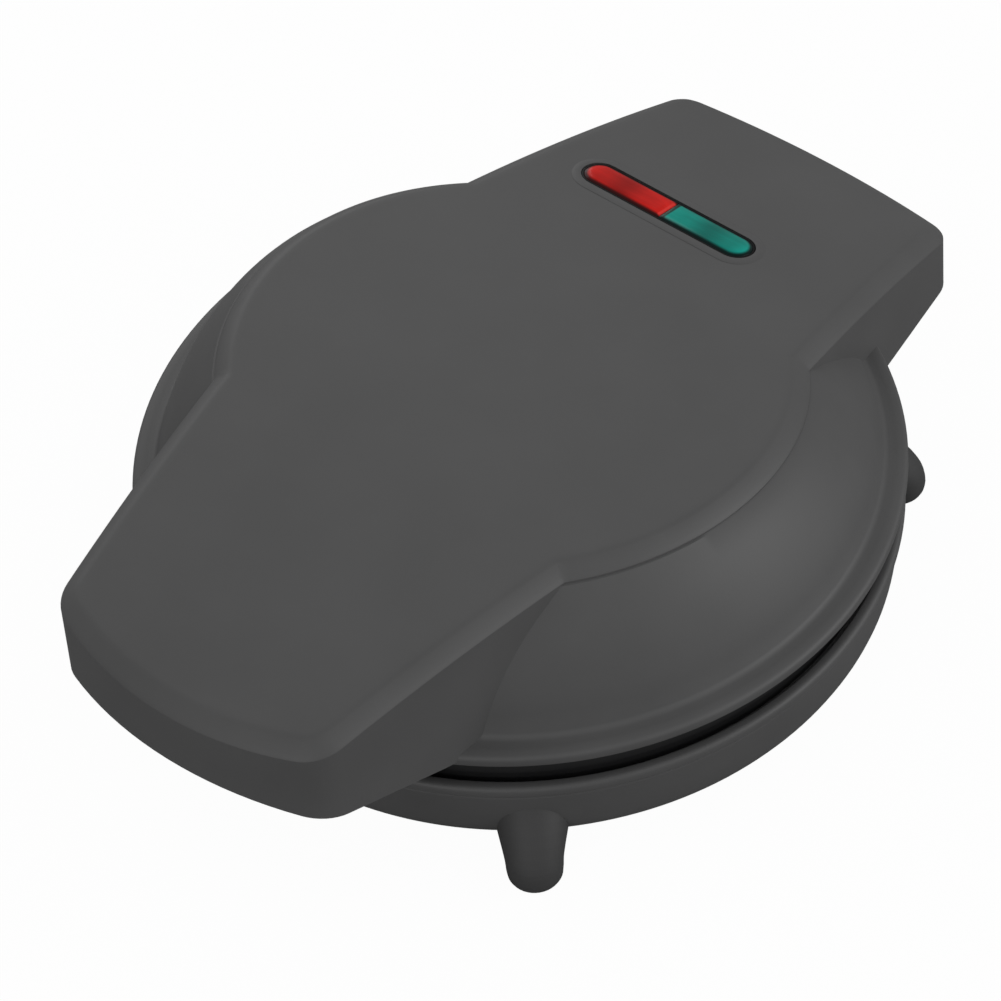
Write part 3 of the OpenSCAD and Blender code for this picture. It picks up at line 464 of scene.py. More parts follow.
# Brightest painted light, painted shade at the edge, colour of the band at the seam, and where that band
# gives way to the painted light, in metres
red_glass = painted_lens_plastic(
    "lens_red_painted_light", (0.85, 0.018, 0.012), (0.035, 0.003, 0.003), (1.0, 0.05, 0.04), 0.0006, 0.001
)
green_glass = painted_lens_plastic(
    "lens_green_painted_light", (0.008, 0.4, 0.32), (0.001, 0.012, 0.011), (0.003, 0.06, 0.045), 0.0014, 0.0019
)
print("lens materials:", red_glass.name, green_glass.name)

# %% [markdown]
# ## The CAD's own pieces
# Most hidden pieces and some seen ones keep their CAD shape and only get a finish: plates,
# heaters, shields, screws, pads, wires, the terminal block and the cover under the grip. Each
# could be given its finish by name, but the CAD record already says what each is made of, so
# one table from material to finish does them all.

# %% Finishes of the CAD nodes
FINISH_OF_SLOT = {
    "grey_plastic": grey_plastic,
    "black_plastic": black_plastic,
    "rubber": pad_rubber,
    "red_lens": black_plastic,
    "green_lens": black_plastic,
    "coated_aluminium": nonstick,
    "steel": screw_steel,
    "heater_steel": heater_steel,
    "shield_steel": shield_steel,
    "ceramic": lamp_ceramic,
    "lamp_glass": lamp_glass,
    "wire_sleeve": wire_sleeve,
}
slot_of_node = {part["node"]: part["material_slot"] for part in frame["record"]["subparts"]}
for node_name, node in frame["nodes"].items():
    finish = FINISH_OF_SLOT[slot_of_node[node_name]]
    for index in range(len(node.material_slots)):
        node.material_slots[index].material = finish
    if not node.material_slots:
        node.data.materials.append(finish)
print("CAD nodes:", len(frame["nodes"]))

# %% [markdown]
# ## Turned pieces
# The dome, the bowl and the front lip are turned shapes. Their rings could be written out one
# by one, but a profile says the same in a few corners: those that are soft on the real part
# are rounded by a vertex bevel, and the outline is spun once round the upright axis.

# %% Profile and spin
TURN_STEPS = 192


def turn_about(bm, verts, degrees, axis):
    """Turns points about an axis through the origin."""
    turn = Matrix.Rotation(math.radians(degrees), 3, axis)
    bmesh.ops.rotate(bm, verts=verts, cent=(0, 0, 0), matrix=turn)


def rounded(bm, geom, by, affect, segments):
    """Rounds corners or edges by that much."""
    bmesh.ops.bevel(
        bm,
        geom=geom,
        offset=by,
        offset_type="OFFSET",
        affect=affect,
        segments=segments,
        profile=0.5,
        material=-1,
    )


def profile_edges(bm, corners):
    """Closed outline of (x, y, z) corners; a fourth number rounds a corner by that much."""
    made = [bm.verts.new(c[:3]) for c in corners]
    bm.faces.new(made)
    for vert, corner in zip(made, corners):
        if len(corner) > 3:
            rounded(bm, [vert], corner[3], "VERTICES", max(3, min(12, int(corner[3] * 3))))
    bmesh.ops.delete(bm, geom=bm.faces[:], context="FACES_ONLY")
    return bm.edges[:]


def turned(corners, steps=TURN_STEPS, degrees=360.0, start=0.0):
    """Ring solid whose (radius, height) profile is spun round the upright axis."""
    bm = bmesh.new()
    edges = profile_edges(bm, [(c[0], 0, *c[1:]) for c in corners])
    whole = degrees == 360.0
    if whole:
        geom = edges + bm.verts[:]
    else:
        cap = bmesh.ops.contextual_create(bm, geom=edges)["faces"]
        turn_about(bm, bm.verts, start, "Z")
        geom = cap + bm.edges[:] + bm.verts[:]
    bmesh.ops.spin(
        bm,
        geom=geom,
        cent=(0, 0, 0),
        axis=(0, 0, 1),
        angle=math.radians(degrees),
        steps=steps,
        use_merge=whole,
        use_duplicate=False,
    )
    return bm


print("degrees from step to step of a whole turn:", 360 / TURN_STEPS)

# %% [markdown]
# ## Finishing a piece
# When a shape is drawn, its doubles are merged, its normals are set, and it goes to its place
# in the model's frame. A subdivision modifier could smooth it, but it would also shrink it.
# Smooth shading with sharp edges above an angle leaves every size as drawn. Last, the piece is
# told which body it rides on.

# %% Finish
MERGE_MM = 0.0005


def placed_mesh(bm, name):
    """Mesh in metres and in the model's frame, from a shape in millimetres."""
    bmesh.ops.recalc_face_normals(bm, faces=bm.faces)
    bmesh.ops.translate(bm, verts=bm.verts, vec=(0, LID_SHIFT_Y, 0))
    bmesh.ops.scale(bm, verts=bm.verts, vec=(MM, MM, MM))
    mesh = bpy.data.meshes.new(name)
    bm.to_mesh(mesh)
    bm.free()
    return mesh


def finish_piece(bm, name, material, body, sharp_degrees=38.0):
    """Merges, orients and places a piece, and lets it ride on its body."""
    bmesh.ops.remove_doubles(bm, verts=bm.verts, dist=MERGE_MM)
    mesh = placed_mesh(bm, name)
    mesh.materials.append(material)
    mesh.shade_smooth()
    mesh.set_sharp_from_angle(angle=math.radians(sharp_degrees))
    piece = bpy.data.objects.new(name, mesh)
    bpy.context.scene.collection.objects.link(piece)
    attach(piece, body)
    print(name, len(mesh.polygons), "faces")
    return piece


# %% [markdown]
# ## Lid: rim and dome
# On the real lid a flat rolled rim runs round a groove, and from there the wall bulges up to
# the raised panel. All of that is round, so it is a turned ring. The panel is an arch that
# falls to the rear. Cutting the dome off under it would leave an open seam, so after the spin
# each point is moved up or down by its share of the panel's own height at that y.

# %% Dome
DOME_ROOT_H = 4.6
DOME_TOP_H = 34.0
DOME_BELOW_PANEL = 0.25
# Radius, height and rounding: down the outside, across the seat and up the inside
dome = turned(
    [
        (68.0, RIM_Z + 35.2),
        (76.0, RIM_Z + DOME_TOP_H - 0.4),
        (88.6, RIM_Z + 20.2, 11.0),
        (94.0, RIM_Z + 4.2, 1.2),
        (97.8, RIM_Z + 3.7, 1.0),
        (LID_R, RIM_Z + 2.9, 0.9),
        (LID_R, RIM_Z, 0.5),
        (SEAT_R, RIM_Z, 0.3),
        (SEAT_R, RIM_Z + 2.5),
        (LEDGE_R, RIM_Z + 2.5),
        (LEDGE_R, RIM_Z + 5.6),
        (85.6, RIM_Z + 19.2, 6.0),
        (68.0, RIM_Z + 32.0),
    ]
)
for vert in dome.verts:
    height = vert.co.z - RIM_Z
    share = max(0.0, (height - DOME_ROOT_H) / (DOME_TOP_H - DOME_ROOT_H))
    vert.co.z += share * (top_z(vert.co.y) - BEVEL_H - DOME_BELOW_PANEL - RIM_Z - DOME_TOP_H)
finish_piece(dome, "lid_dome", grey_plastic, "lid")

# %% [markdown]
# ## Arcs
# The panel's outline, the light window, the web and the hinge barrel are all drawn with plain
# arcs. A curve object could hold them, but it would have to be turned into a mesh before
# anything else can be done. A point that is spun round a centre is an arc of edges at once.

# %% Arcs
def swing(degrees, radius):
    """Point at that angle and distance from the origin."""
    return Vector((math.cos(math.radians(degrees)), math.sin(math.radians(degrees)))) * radius


def degrees_of(point):
    """Angle at which a point is seen from the origin."""
    return math.degrees(math.atan2(point[1], point[0]))


def arc(bm, start, centre, degrees, steps):
    """Arc of edges from start round centre; returns its two end points."""
    first = bm.verts.new((*start, 0))
    swept = bmesh.ops.spin(
        bm,
        geom=[first],
        cent=(*centre, 0),
        axis=(0, 0, 1),
        angle=math.radians(degrees),
        steps=steps,
        use_merge=False,
        use_duplicate=False,
    )
    last = [g for g in swept["geom_last"] if isinstance(g, bmesh.types.BMVert)][0]
    return first, last


print("a point swung by 30 degrees lies at", round(degrees_of(swing(30, 1)), 3), "degrees")

# %% [markdown]
# ## Lid: outline of the panel
# Seen from above, the raised panel, the grip and the rear housing are one hourglass. It could
# be a freehand curve, but the photograph shows plain arcs: the round middle and two bowed ends
# with round corners, joined by straight flanks. So we draw those. The corners are tangent to
# the bow and to the flanks.

# %% Outline of the panel
PANEL_R = 75.4
GRIP_NECK_HALF = 57.0
GRIP_END_HALF = 41.5
GRIP_REACH = 135.9
GRIP_BOW_R = 100.0
GRIP_CORNER_R = 12.0
HOUSING_NECK_HALF = 56.5
HOUSING_END_HALF = 44.0
HOUSING_REACH = 130.0
HOUSING_BOW_R = 260.0
HOUSING_CORNER_R = 8.0
SIDE_STEPS = 64
CORNER_STEPS = 8
BOW_STEPS = 18


def neck_of(half_width):
    """Where a wing of that half width leaves the round panel."""
    return Vector((half_width, math.sqrt(PANEL_R**2 - half_width**2)))


def wing_end(bm, neck, end_half, reach, bow_r, corner_r, turn):
    """Bowed end of a wing with its two round corners, tangent to the flanks."""
    way = (Vector((end_half, reach)) - neck).normalized()
    out = Vector((way.y, -way.x))
    bow_centre = Vector((0, reach - bow_r))
    from_bow = neck - out * corner_r - bow_centre
    along = from_bow.dot(way)
    inside = along**2 - from_bow.length_squared + (bow_r - corner_r) ** 2
    corner = from_bow + bow_centre + way * (math.sqrt(inside) - along)
    mirrored = Vector((-corner.x, corner.y))
    low = degrees_of(out)
    high = degrees_of(corner - bow_centre)
    parts = [
        (corner + swing(low, corner_r), corner, high - low, CORNER_STEPS),
        (bow_centre + swing(high, bow_r), bow_centre, 180 - 2 * high, BOW_STEPS),
        (mirrored + swing(180 - high, corner_r), mirrored, high - low, CORNER_STEPS),
    ]
    old = set(bm.verts)
    ends = [arc(bm, *part) for part in parts]
    made = [v for v in bm.verts if v not in old]
    turn_about(bm, made, turn, "Z")
    return ends[0][0], ends[2][1]


grip_neck = neck_of(GRIP_NECK_HALF)
rear_neck = neck_of(HOUSING_NECK_HALF)
side_span = degrees_of(grip_neck) + degrees_of(rear_neck)


def panel_outline():
    """The hourglass as one flat face, counterclockwise from the housing's right corner."""
    bm = bmesh.new()
    chain = [
        wing_end(bm, rear_neck, HOUSING_END_HALF, HOUSING_REACH, HOUSING_BOW_R, HOUSING_CORNER_R, 0),
        arc(bm, (-rear_neck.x, rear_neck.y), (0, 0), side_span, SIDE_STEPS),
        wing_end(bm, grip_neck, GRIP_END_HALF, GRIP_REACH, GRIP_BOW_R, GRIP_CORNER_R, 180),
        arc(bm, (grip_neck.x, -grip_neck.y), (0, 0), side_span, SIDE_STEPS),
    ]
    for (_, last), (first, _) in zip(chain, chain[1:] + chain[:1]):
        bm.edges.new((last, first))
    bmesh.ops.remove_doubles(bm, verts=bm.verts, dist=0.001)
    bmesh.ops.contextual_create(bm, geom=bm.edges[:])
    if bm.faces[:][0].normal.z < 0:
        bmesh.ops.reverse_faces(bm, faces=bm.faces[:])
    return bm


panel = panel_outline()
print("panel's outline:", len(panel.verts), "points, side arcs of", round(side_span, 1), "degrees")

# %% [markdown]
# ## Lid: raised panel, grip and rear housing
# The real panel is one hollow moulding with a soft bevel along its edge. A block cut to shape
# by booleans would have ragged edges there. So the flat outline is extruded for the walls, a
# few insets give the bevel, and an inset and extrusion from below hollow it out. Then it is
# cut at many stations along y, and each point is lifted to its height: the arch above, and
# below the grip's slope, the rim or the housing's lower edge.

# %% Panel solid
WALL = 2.8
BOTTOM_FLAG = -60.0
CEILING_FLAG = -30.0
PANEL_EDGE_W = 4.6
BEVEL_STEPS = [(0.35, 0.55), (0.65, 0.7), (2.6, 1.9), (0.8, 0.35), (0.9, 0.1), (1.2, 0.0)]
STATIONS_Y = range(-130, 130, 5)
RISERS_Y = (-48.0, -47.8, 48.0, 48.2, 82.2, 82.5, 86.3, 86.6, 89.0, 89.4)
NOTCH_HALF = 37.0
NOTCH_RISER = 0.2
CUT_MM = 0.0001


def extruded(bm, face):
    """Draws a face out of itself; returns the new face."""
    made = bmesh.ops.extrude_face_region(bm, geom=[face])["geom"]
    return [g for g in made if isinstance(g, bmesh.types.BMFace)][0]


def set_height(face, z):
    """Puts all corners of a face at one height."""
    for vert in face.verts:
        vert.co.z = z


def inset(bm, face, steps):
    """Insets a face again and again, by a width and a rise each time."""
    for width, rise in steps:
        bmesh.ops.inset_region(bm, faces=[face], thickness=width, depth=rise, use_even_offset=True)


def cut_across(bm, place, normal, **which):
    """Cuts every face that the plane crosses."""
    geom = bm.verts[:] + bm.edges[:] + bm.faces[:]
    bmesh.ops.bisect_plane(bm, geom=geom, dist=CUT_MM, plane_co=place, plane_no=normal, **which)


bottom_face = panel.faces[:][0]
top_face = extruded(panel, bottom_face)
set_height(bottom_face, BOTTOM_FLAG)
set_height(top_face, -BEVEL_H)
bmesh.ops.recalc_face_normals(panel, faces=panel.faces)
inset(panel, top_face, BEVEL_STEPS)
inset(panel, bottom_face, [(PANEL_EDGE_W, 0.0)])
ceiling = extruded(panel, bottom_face)
set_height(ceiling, CEILING_FLAG)
if bottom_face.is_valid:
    bmesh.ops.delete(panel, geom=[bottom_face], context="FACES_ONLY")
print("hollow open below:", not bottom_face.is_valid)
for y in (*STATIONS_Y, *RISERS_Y):
    cut_across(panel, (0, y, 0), (0, 1, 0))
for x in (-NOTCH_HALF - NOTCH_RISER, -NOTCH_HALF, NOTCH_HALF, NOTCH_HALF + NOTCH_RISER):
    cut_across(panel, (x, 0, 0), (1, 0, 0))
print("panel cut into", len(panel.faces), "faces")

# %% [markdown]
# ## Lid: height of the panel's edges
# The walls end where the real moulding ends: in front at the grip's sloping underside, at the
# sides hidden inside the dome, and behind at the rim and at the two cheeks beside the hinge.
# Each could be a cut of its own. One function of the place keeps them in one list, and the
# cuts above lie in pairs a few tenths of a millimetre apart, so that each step is steep.

# %% Heights of the panel
GRIP_UNDER_H = 5.0
GRIP_UNDER_SLOPE = math.radians(15.5)
GRIP_LEAST_H = 1.0
FLANK_H = 20.0
REAR_RIM_H = 2.0
OUTSIDE_RIM_H = 0.15
GRIP_STEP_Y = -47.9
REAR_STEP_Y = 48.1
RIM_BODY_R = 97.2
CHEEK_R = 100.3
CHEEK_Z = 32.0


def grip_under_z(y):
    """Height of the grip's sloping underside."""
    return RIM_Z + GRIP_UNDER_H - (y + LID_R) * math.tan(GRIP_UNDER_SLOPE)


def lower_edge(x, y):
    """Height of the panel's walls at their lower edge."""
    if y < GRIP_STEP_Y:
        return max(grip_under_z(y), RIM_Z + GRIP_LEAST_H)
    if y < REAR_STEP_Y:
        return RIM_Z + FLANK_H
    if math.hypot(x, y) < RIM_BODY_R:
        return RIM_Z + REAR_RIM_H
    if math.hypot(x, y) < CHEEK_R:
        return RIM_Z + OUTSIDE_RIM_H
    return RIM_Z if abs(x) < NOTCH_HALF + NOTCH_RISER / 2 else CHEEK_Z


for vert in panel.verts:
    x, y, level = vert.co
    if level > -BEVEL_H - 0.5:
        vert.co.z = top_z(y) + level
    elif level > BOTTOM_FLAG + 1:
        vert.co.z = top_z(y) - WALL
    else:
        vert.co.z = lower_edge(x, y)
panel_piece = finish_piece(panel, "lid_panel", grey_plastic, "lid", sharp_degrees=30.0)

# %% [markdown]
# ## Lid: web under the grip
# Between the rim and the cover under the grip the moulding is closed by a short web, so that
# crumbs stay out of the hollow grip. A ring round the whole rim would do the same, but would
# show past the grip. So its plan is an arc inside the rim with a straight front edge at the
# cover. That outline is extruded, and follows the grip's sloping underside.

# %% Grip web
WEB_FRONT_Y = -101.6
WEB_HALF = 45.3
WEB_ROOT_R = 95.0
WEB_ROOT_HALF_A = 30.4
WEB_ROOT_STEPS = 24
WEB_T = 3.0
WEB_LOW_Z = RIM_Z + 2.9
WEB_SUNK = 0.06


def closed_face(bm, chain):
    """Draws edges along a chain of points, and fills the outline that they close."""
    for one, other in zip(chain, chain[1:]):
        bm.edges.new((one, other))
    return bmesh.ops.contextual_create(bm, geom=bm.edges[:])["faces"][0]


web = bmesh.new()
root_from = swing(-90 - WEB_ROOT_HALF_A, WEB_ROOT_R)
root_start, root_end = arc(web, root_from, (0, 0), 2 * WEB_ROOT_HALF_A, WEB_ROOT_STEPS)
front_corners = [web.verts.new((side * WEB_HALF, WEB_FRONT_Y, 0)) for side in (1, -1)]
web_under = closed_face(web, [root_end, *front_corners, root_start])
web_over = extruded(web, web_under)
for face, above in ((web_under, WEB_SUNK), (web_over, WEB_T)):
    for vert in face.verts:
        vert.co.z = max(grip_under_z(vert.co.y), WEB_LOW_Z) + above
finish_piece(web, "lid_grip_web", grey_plastic, "lid")

# %% [markdown]
# ## Pill shapes
# All parts of the light window have a pill's outline: two straight sides and two half rounds.
# A cube with its upright edges rounded would do for one of them, but not for the rings. So the
# pill is drawn flat with two arcs and extruded, and insets step its top. A ring is the same
# with its middle opened.

# %% Pill shapes
PILL_STEPS = 24


def pill_face(length, width):
    """Flat pill with its two round ends."""
    bm = bmesh.new()
    reach = (length - width) / 2
    right_end = arc(bm, (reach, -width / 2), (reach, 0), 180.0, PILL_STEPS)
    left_end = arc(bm, (-reach, width / 2), (-reach, 0), 180.0, PILL_STEPS)
    bm.edges.new((right_end[1], left_end[0]))
    bm.edges.new((left_end[1], right_end[0]))
    bmesh.ops.contextual_create(bm, geom=bm.edges[:])
    return bm


def stepped(bm, low, steps):
    """Solid from a flat face: walls up from low, then insets; returns its bottom and top."""
    bottom = bm.faces[:][0]
    top = extruded(bm, bottom)
    set_height(bottom, low)
    bmesh.ops.recalc_face_normals(bm, faces=bm.faces)
    inset(bm, top, steps)
    return bottom, top


def pill_ring(length, width, ring_w, low, steps):
    """Closed ring with a pill's outline: outer wall, stepped top and inner wall."""
    bm = pill_face(length, width)
    bottom, top = stepped(bm, low, steps)
    inset(bm, bottom, [(ring_w, 0.0)])
    loops = top.edges[:] + bottom.edges[:]
    bmesh.ops.delete(bm, geom=[top, bottom], context="FACES_ONLY")
    bmesh.ops.bridge_loops(bm, edges=loops)
    return bm


print("edges round a pill:", 2 * PILL_STEPS + 2)

# %% [markdown]
# ## Light window: hole and swell
# A long pill-shaped window lies across the rear housing, a little left of the middle, and the
# plastic swells up softly round it. The swell could be raised out of the panel's own faces, but
# those run in straight stations. So a pill solid cuts a clean hole, and the swell is a ring of
# its own that is sunk a little into the panel.

# %% Hole and swell
WINDOW_LEN = 55.0
WINDOW_W = 10.6
WINDOW_GAP = 0.15
HOLE_LOW = -8.0
HOLE_UP = 6.0
SWELL_GROW = 5.2
SWELL_W = 2.45
SWELL_LOW = -0.7
SWELL_STEPS = [(0.5, 0.16), (0.7, 0.12), (0.9, 0.04), (0.35, -0.05)]
CARVED_SHARP = 30.0
window_spot = Matrix.Translation((-WINDOW_LEFT, WINDOW_Y, top_z(WINDOW_Y)))
window_place = window_spot @ Matrix.Rotation(WINDOW_TILT, 4, "X")


def carve(piece, cutter_bm):
    """Cuts a closed solid out of a finished piece."""
    cutter = bpy.data.objects.new("cutter", placed_mesh(cutter_bm, "cutter"))
    bpy.context.scene.collection.objects.link(cutter)
    cut = piece.modifiers.new("cut", "BOOLEAN")
    cut.operation = "DIFFERENCE"
    cut.solver = "EXACT"
    cut.object = cutter
    graph = bpy.context.evaluated_depsgraph_get()
    done = bpy.data.meshes.new_from_object(piece.evaluated_get(graph))
    piece.modifiers.clear()
    piece.data = done
    done.set_sharp_from_angle(angle=math.radians(CARVED_SHARP))
    bpy.data.objects.remove(cutter)
    print(piece.name, "carved,", len(done.polygons), "faces")


hole = pill_face(WINDOW_LEN + 2 * WINDOW_GAP, WINDOW_W + 2 * WINDOW_GAP)
stepped(hole, HOLE_LOW, [(0.0, HOLE_UP)])
hole.transform(window_place)
carve(panel_piece, hole)

swell = pill_ring(WINDOW_LEN + SWELL_GROW, WINDOW_W + SWELL_GROW, SWELL_W, SWELL_LOW, SWELL_STEPS)
swell.transform(window_place)
finish_piece(swell, "window_swell", grey_plastic, "lid", sharp_degrees=50.0)
print("window at", [round(v, 1) for v in window_place.translation])

# %% [markdown]
# ## Light window: frame and lenses
# A black frame lines the hole, and on its inner ledge lie two domed lenses, red and green, end
# to end. The frame could be one section swept round the pill. Two rings like the swell's, one
# for the rim and one for the ledge, do the same with what is there. Each lens is half of a
# pill, cut at the seam and closed by insets that make the bevel and the low crown.

# %% Frame and lenses
FRAME_LOW = -4.5
RIM_W = 0.6
FRAME_STEPS = [(0.12, 0.12), (0.2, 0.05), (0.28, 0.0)]
LEDGE_IN = 0.4
LEDGE_W = 1.9
LEDGE_DOWN = 2.6
LEDGE_STEPS = [(0.2, 0.2), (1.5, 0.0), (0.2, -0.2)]
LENS_APART = 0.06
LENS_LOW = -2.6
LENS_STEPS = [(0.12, 0.2), (0.95, 0.42), (0.9, 0.16), (0.9, 0.05)]


def joined(*parts):
    """One mesh from several."""
    bm = bmesh.new()
    for part in parts:
        mesh = bpy.data.meshes.new("part")
        part.to_mesh(mesh)
        part.free()
        bm.from_mesh(mesh)
        bpy.data.meshes.remove(mesh)
    return bm


def half_lens(side):
    """Half of the pill with bevelled edges and a low crown."""
    bm = pill_face(LENS_LEN, LENS_W)
    cut_across(bm, (side * LENS_APART, 0, 0), (-side, 0, 0), clear_outer=True)
    stepped(bm, LENS_LOW, LENS_STEPS)
    bm.transform(window_place)
    return bm


rim = pill_ring(WINDOW_LEN, WINDOW_W, RIM_W, FRAME_LOW, FRAME_STEPS)
ledge = pill_ring(WINDOW_LEN - LEDGE_IN, WINDOW_W - LEDGE_IN, LEDGE_W, FRAME_LOW, LEDGE_STEPS)
bmesh.ops.translate(ledge, verts=ledge.verts, vec=(0, 0, -LEDGE_DOWN))
window_frame = joined(rim, ledge)
window_frame.transform(window_place)
frame_piece = finish_piece(
    window_frame, "window_frame", window_black, "lid", sharp_degrees=50.0
)
red_piece = finish_piece(half_lens(-1), "lens_red", red_glass, "lid", sharp_degrees=25.0)
green_piece = finish_piece(half_lens(1), "lens_green", green_glass, "lid", sharp_degrees=25.0)

# %% [markdown]
# ## Lid: hinge bosses
# Two short bosses inside the housing carry the lid on the steel pins, one at each end of the
# base's barrel. They could be turned from a profile like the dome, but that spins only round
# the upright axis. A capped circle with rounded edges is simpler for a plain round bar.

# %% Hinge bosses
BARREL_HALF = 36.0
BARREL_R = 10.0
BOSS_R = 7.0
BOSS_START = 36.8
BOSS_END = 45.4
BOSS_SOFT = 0.6
BOSS_SEGMENTS = 64
EDGE_SEGMENTS = 3
TURN_TO_AXIS = {"x": (90, "Y"), "y": (90, "X"), "z": (0, "Z")}


def drum(radius, length, middle, axis, segments=48, soft=0.0):
    """Round bar along x, y or z; its end edges may be soft."""
    bm = bmesh.new()
    bmesh.ops.create_cone(
        bm, cap_ends=True, segments=segments, radius1=radius, radius2=radius, depth=length
    )
    if soft:
        ends = [e for f in bm.faces if len(f.verts) > 4 for e in f.edges]
        rounded(bm, ends, soft, "EDGES", EDGE_SEGMENTS)
    turn_about(bm, bm.verts, *TURN_TO_AXIS[axis])
    bmesh.ops.translate(bm, verts=bm.verts, vec=middle)
    return bm


bosses = []
for side in (1, -1):
    boss_middle = (side * (BOSS_START + BOSS_END) / 2, HINGE_Y, HINGE_Z)
    bosses.append(drum(BOSS_R, BOSS_END - BOSS_START, boss_middle, "x", BOSS_SEGMENTS, BOSS_SOFT))
finish_piece(joined(*bosses), "lid_hinge_bosses", grey_plastic, "lid")

# %% [markdown]
# ## Base: bowl
# The bowl is a shallow pan with a rolled lip, a slightly leaning wall and a round lower corner.
# It is round all the way, so it is turned like the dome: one closed profile, with the soft
# corners rounded before the spin. Its inner wall has a name of its own, because the cavity
# that trims the feet follows the same line.

# %% Base bowl
# Radius, height and rounding: along the underside, up the outside, over the lip and back inside
INNER_WALL = [(92.6, 8.8, 7.0), (93.2, 22.0), (LEDGE_R, 26.8)]
bowl = turned(
    [
        (66.15, 7.8),
        (66.15, 6.0, 0.3),
        (95.6, 6.0, 9.5),
        (98.5, 27.6, 0.5),
        (98.1, 28.2, 0.2),
        (99.2, 28.8, 0.5),
        (99.2, LIP_Z, 1.3),
        (SEAT_R, LIP_Z, 0.5),
        (SEAT_R, 29.5),
        (LEDGE_R, 29.5),
        *reversed(INNER_WALL),
        (70.95, 8.8),
        (68.95, 10.6),
        (56.0, 10.6),
        (56.0, 7.8),
    ]
)
bowl_piece = finish_piece(bowl, "base_bowl", grey_plastic, "base")

# %% [markdown]
# ## Base: raised front lip
# Under the grip the lip rises into a tab that closes the gap, with round lower corners at its
# two ends. A flat plate could be bent to the circle, but the tab follows the bowl's own round,
# so a partial spin of its profile makes it, with several levels up the wall. Then each level
# is narrowed by its height, which rounds the corners.

# %% Front lip
TAB_R = 98.5
TAB_INNER_R = 96.6
TAB_TOP = 40.5
TAB_HALF_A = 27.4
TAB_CORNER_A = 7.4
TAB_CORNER_Z = 39.5
TAB_LEVELS = (31.2, 32.0, 32.8, 33.8, 35.0, 36.4, 38.0, 39.2)
TAB_STEPS = 48

tab = turned(
    [(TAB_R, z) for z in TAB_LEVELS]
    + [(TAB_R, TAB_TOP, 0.9), (TAB_INNER_R, TAB_TOP, 0.3)]
    + [(TAB_INNER_R, z) for z in reversed(TAB_LEVELS)],
    steps=TAB_STEPS,
    degrees=2 * TAB_HALF_A,
    start=-90 - TAB_HALF_A,
)
for vert in tab.verts:
    angle = degrees_of(vert.co) + 90
    low = 1 - min(1.0, max(0.0, (vert.co.z - LIP_Z) / (TAB_CORNER_Z - LIP_Z)))
    share = 1 - TAB_CORNER_A * low**2 / TAB_HALF_A
    vert.co.xy = swing(angle * share - 90, vert.co.xy.length)
finish_piece(tab, "base_front_lip", grey_plastic, "base", sharp_degrees=45.0)

# %% [markdown]
# ## Base: feet
# Four stubby feet splay out of the bowl's lower corner. A straight cone would meet the bowl at
# a hard angle, and the real limb flows out of it. So each foot is a capped circle that is
# extruded ring by ring, tilted at the root and upright at the end, with a recess for the
# rubber pad. What would stand inside the bowl is cut away with a turned ring.

# %% Feet
FOOT_REACH = 101.0
FOOT_AZIMUTHS = (-50.0, -130.0, 53.0, 127.0)
FOOT_SEGMENTS = 40
# How far out, height, radius and tilt in degrees of the limb's rings
LIMB = [
    (-23.0, 24.0, 13.0, 53.0),
    (-17.0, 20.0, 11.8, 52.0),
    (-8.0, 13.5, 9.6, 40.0),
    (-1.5, 7.5, 7.7, 14.0),
    (0.0, 4.0, 7.3, 2.0),
    (0.0, 2.0, 7.1, 0.0),
]
LIMB_STEPS = 4
FOOT_END = [(0, 1.2, 6.7, 0), (0, 0.85, 6.1, 0), (0, 0.8, 5.4, 0), (0, 2.0, 5.4, 0)]
CAVITY_R = 60.0
CAVITY_TOP_Z = 36.0


def eased(keys, steps):
    """Smooth course of values through the keys."""
    course = []
    for i in range(len(keys) - 1):
        four = (keys[max(i - 1, 0)], keys[i], keys[i + 1], keys[min(i + 2, len(keys) - 1)])
        for s in range(steps):
            t = s / steps
            course.append(
                [
                    b + 0.5 * t * (c - a + t * (2 * a - 5 * b + 4 * c - d + t * (3 * (b - c) + d - a)))
                    for a, b, c, d in zip(*four)
                ]
            )
    return course + [list(keys[-1])]


def ring_place(out, z, radius, tilt):
    """Place, tilt and size of one ring of a foot that points along x."""
    turn = Matrix.Rotation(math.radians(-tilt), 4, "Y")
    return Matrix.Translation((FOOT_REACH + out, 0, z)) @ turn @ Matrix.Scale(radius, 4)


def foot(azimuth):
    """One foot, swung to its place round the bowl."""
    bm = bmesh.new()
    bmesh.ops.create_circle(bm, cap_ends=True, segments=FOOT_SEGMENTS, radius=1.0)
    rings = [ring_place(*ring) for ring in eased(LIMB, LIMB_STEPS) + FOOT_END]
    bmesh.ops.transform(bm, matrix=rings[0], verts=bm.verts)
    cap = bm.faces[:][0]
    for old, new in zip(rings, rings[1:]):
        cap = extruded(bm, cap)
        bmesh.ops.transform(bm, matrix=new @ old.inverted(), verts=cap.verts)
    turn_about(bm, bm.verts, azimuth, "Z")
    return bm


feet = joined(*[foot(azimuth) for azimuth in FOOT_AZIMUTHS])
# The feet's darker grey is painted shade from the bowl above them
feet_piece = finish_piece(feet, "base_feet", foot_painted_shade, "base")
floor_z = INNER_WALL[0][1]
cavity = [(CAVITY_R, floor_z), *INNER_WALL, (LEDGE_R, CAVITY_TOP_Z), (CAVITY_R, CAVITY_TOP_Z)]
carve(feet_piece, turned(cavity))

# %% [markdown]
# ## Base: hinge block
# Behind the bowl a block carries the round barrel that the lid turns about. A box and a bar
# joined by a boolean would leave a hard seam between them. Its side view is one outline, most
# of it an arc, so that is drawn, extruded across and softened at both ends. The bores for the
# pins, the cord's bush and the wires are then cut out.

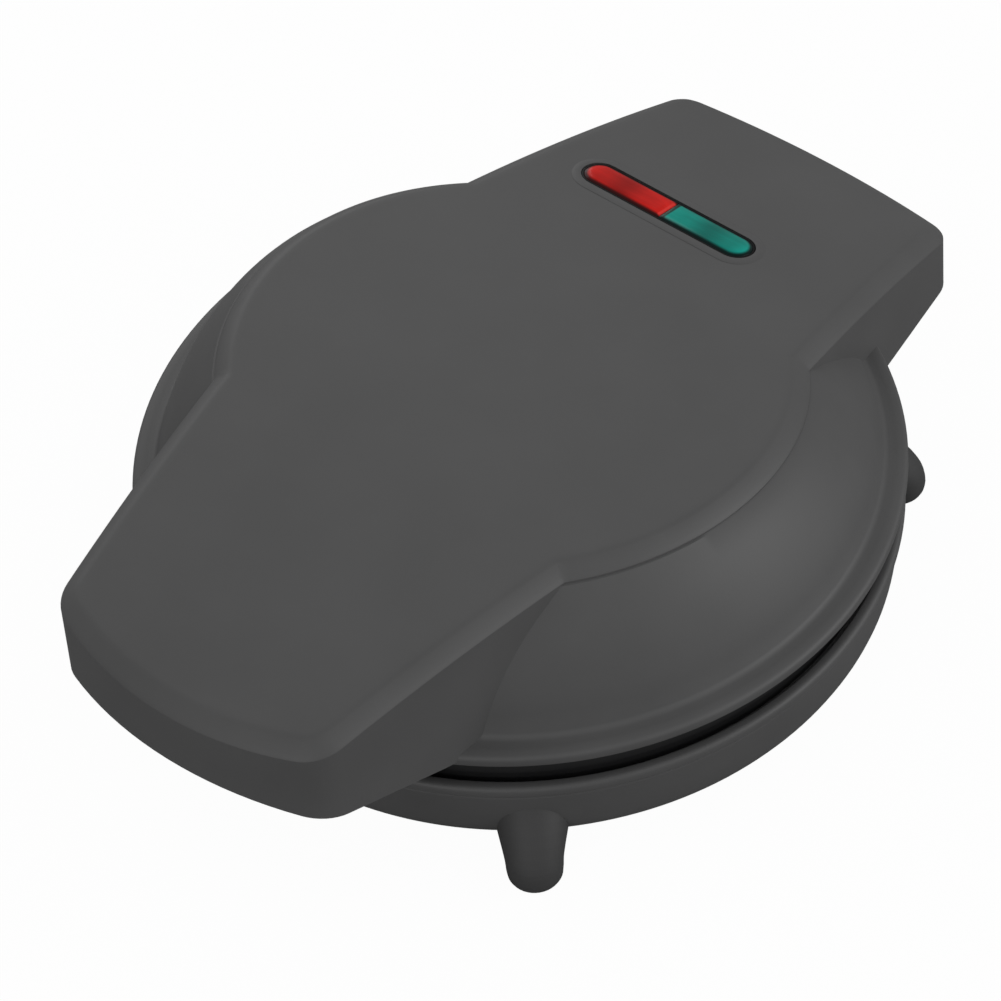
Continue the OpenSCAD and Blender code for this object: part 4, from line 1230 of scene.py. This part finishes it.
# %% Hinge block
BLOCK_REAR = 3.0
BLOCK_FRONT_Y = 88.0
BLOCK_SHOULDER_Y = 99.0
BLOCK_LOW_Z = 10.0
BLOCK_SOFT = 0.7
BARREL_STEPS = 56
NECK_MEET = Vector((-8.445, -5.356))
AXES_TURNED = Matrix(((0, 0, 1, 0), (1, 0, 0, 0), (0, 1, 0, 0), (0, 0, 0, 1)))
# Radius, length, middle and axis of the bores: pins, cord bush, wires
BORES = [
    (3.06, 16.0, (BARREL_HALF - 6.4, HINGE_Y, HINGE_Z), "x"),
    (3.06, 16.0, (6.4 - BARREL_HALF, HINGE_Y, HINGE_Z), "x"),
    (4.95, 30.0, (0, 100.0, 17.0), "y"),
    (2.4, 32.0, (7.0, 105.0, 36.0), "z"),
    (2.4, 32.0, (-7.0, 105.0, 36.0), "z"),
]

block = bmesh.new()
meet_rear = Vector((-BLOCK_REAR, -math.sqrt(BARREL_R**2 - BLOCK_REAR**2)))
span = (degrees_of(NECK_MEET) - degrees_of(meet_rear)) % 360
barrel_start = (HINGE_Y + meet_rear.x, HINGE_Z + meet_rear.y)
first, last = arc(block, barrel_start, (HINGE_Y, HINGE_Z), span, BARREL_STEPS)
corners = [
    (BLOCK_SHOULDER_Y, LIP_Z),
    (BLOCK_FRONT_Y, LIP_Z),
    (BLOCK_FRONT_Y, BLOCK_LOW_Z),
    (HINGE_Y - BLOCK_REAR, BLOCK_LOW_Z),
]
side_face = closed_face(block, [last, *[block.verts.new((*corner, 0)) for corner in corners], first])
other_side = extruded(block, side_face)
set_height(side_face, -BARREL_HALF)
set_height(other_side, BARREL_HALF)
bmesh.ops.recalc_face_normals(block, faces=block.faces)
rounded(block, side_face.edges[:] + other_side.edges[:], BLOCK_SOFT, "EDGES", EDGE_SEGMENTS)
block.transform(AXES_TURNED)
block_piece = finish_piece(block, "base_hinge_block", grey_plastic, "base")
carve(block_piece, joined(*[drum(*bore) for bore in BORES]))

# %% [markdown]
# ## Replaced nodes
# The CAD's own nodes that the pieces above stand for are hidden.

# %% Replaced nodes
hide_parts("lid_shell")
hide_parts("base_shell")
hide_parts("light_frame")
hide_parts("red_lens")
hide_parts("green_lens")
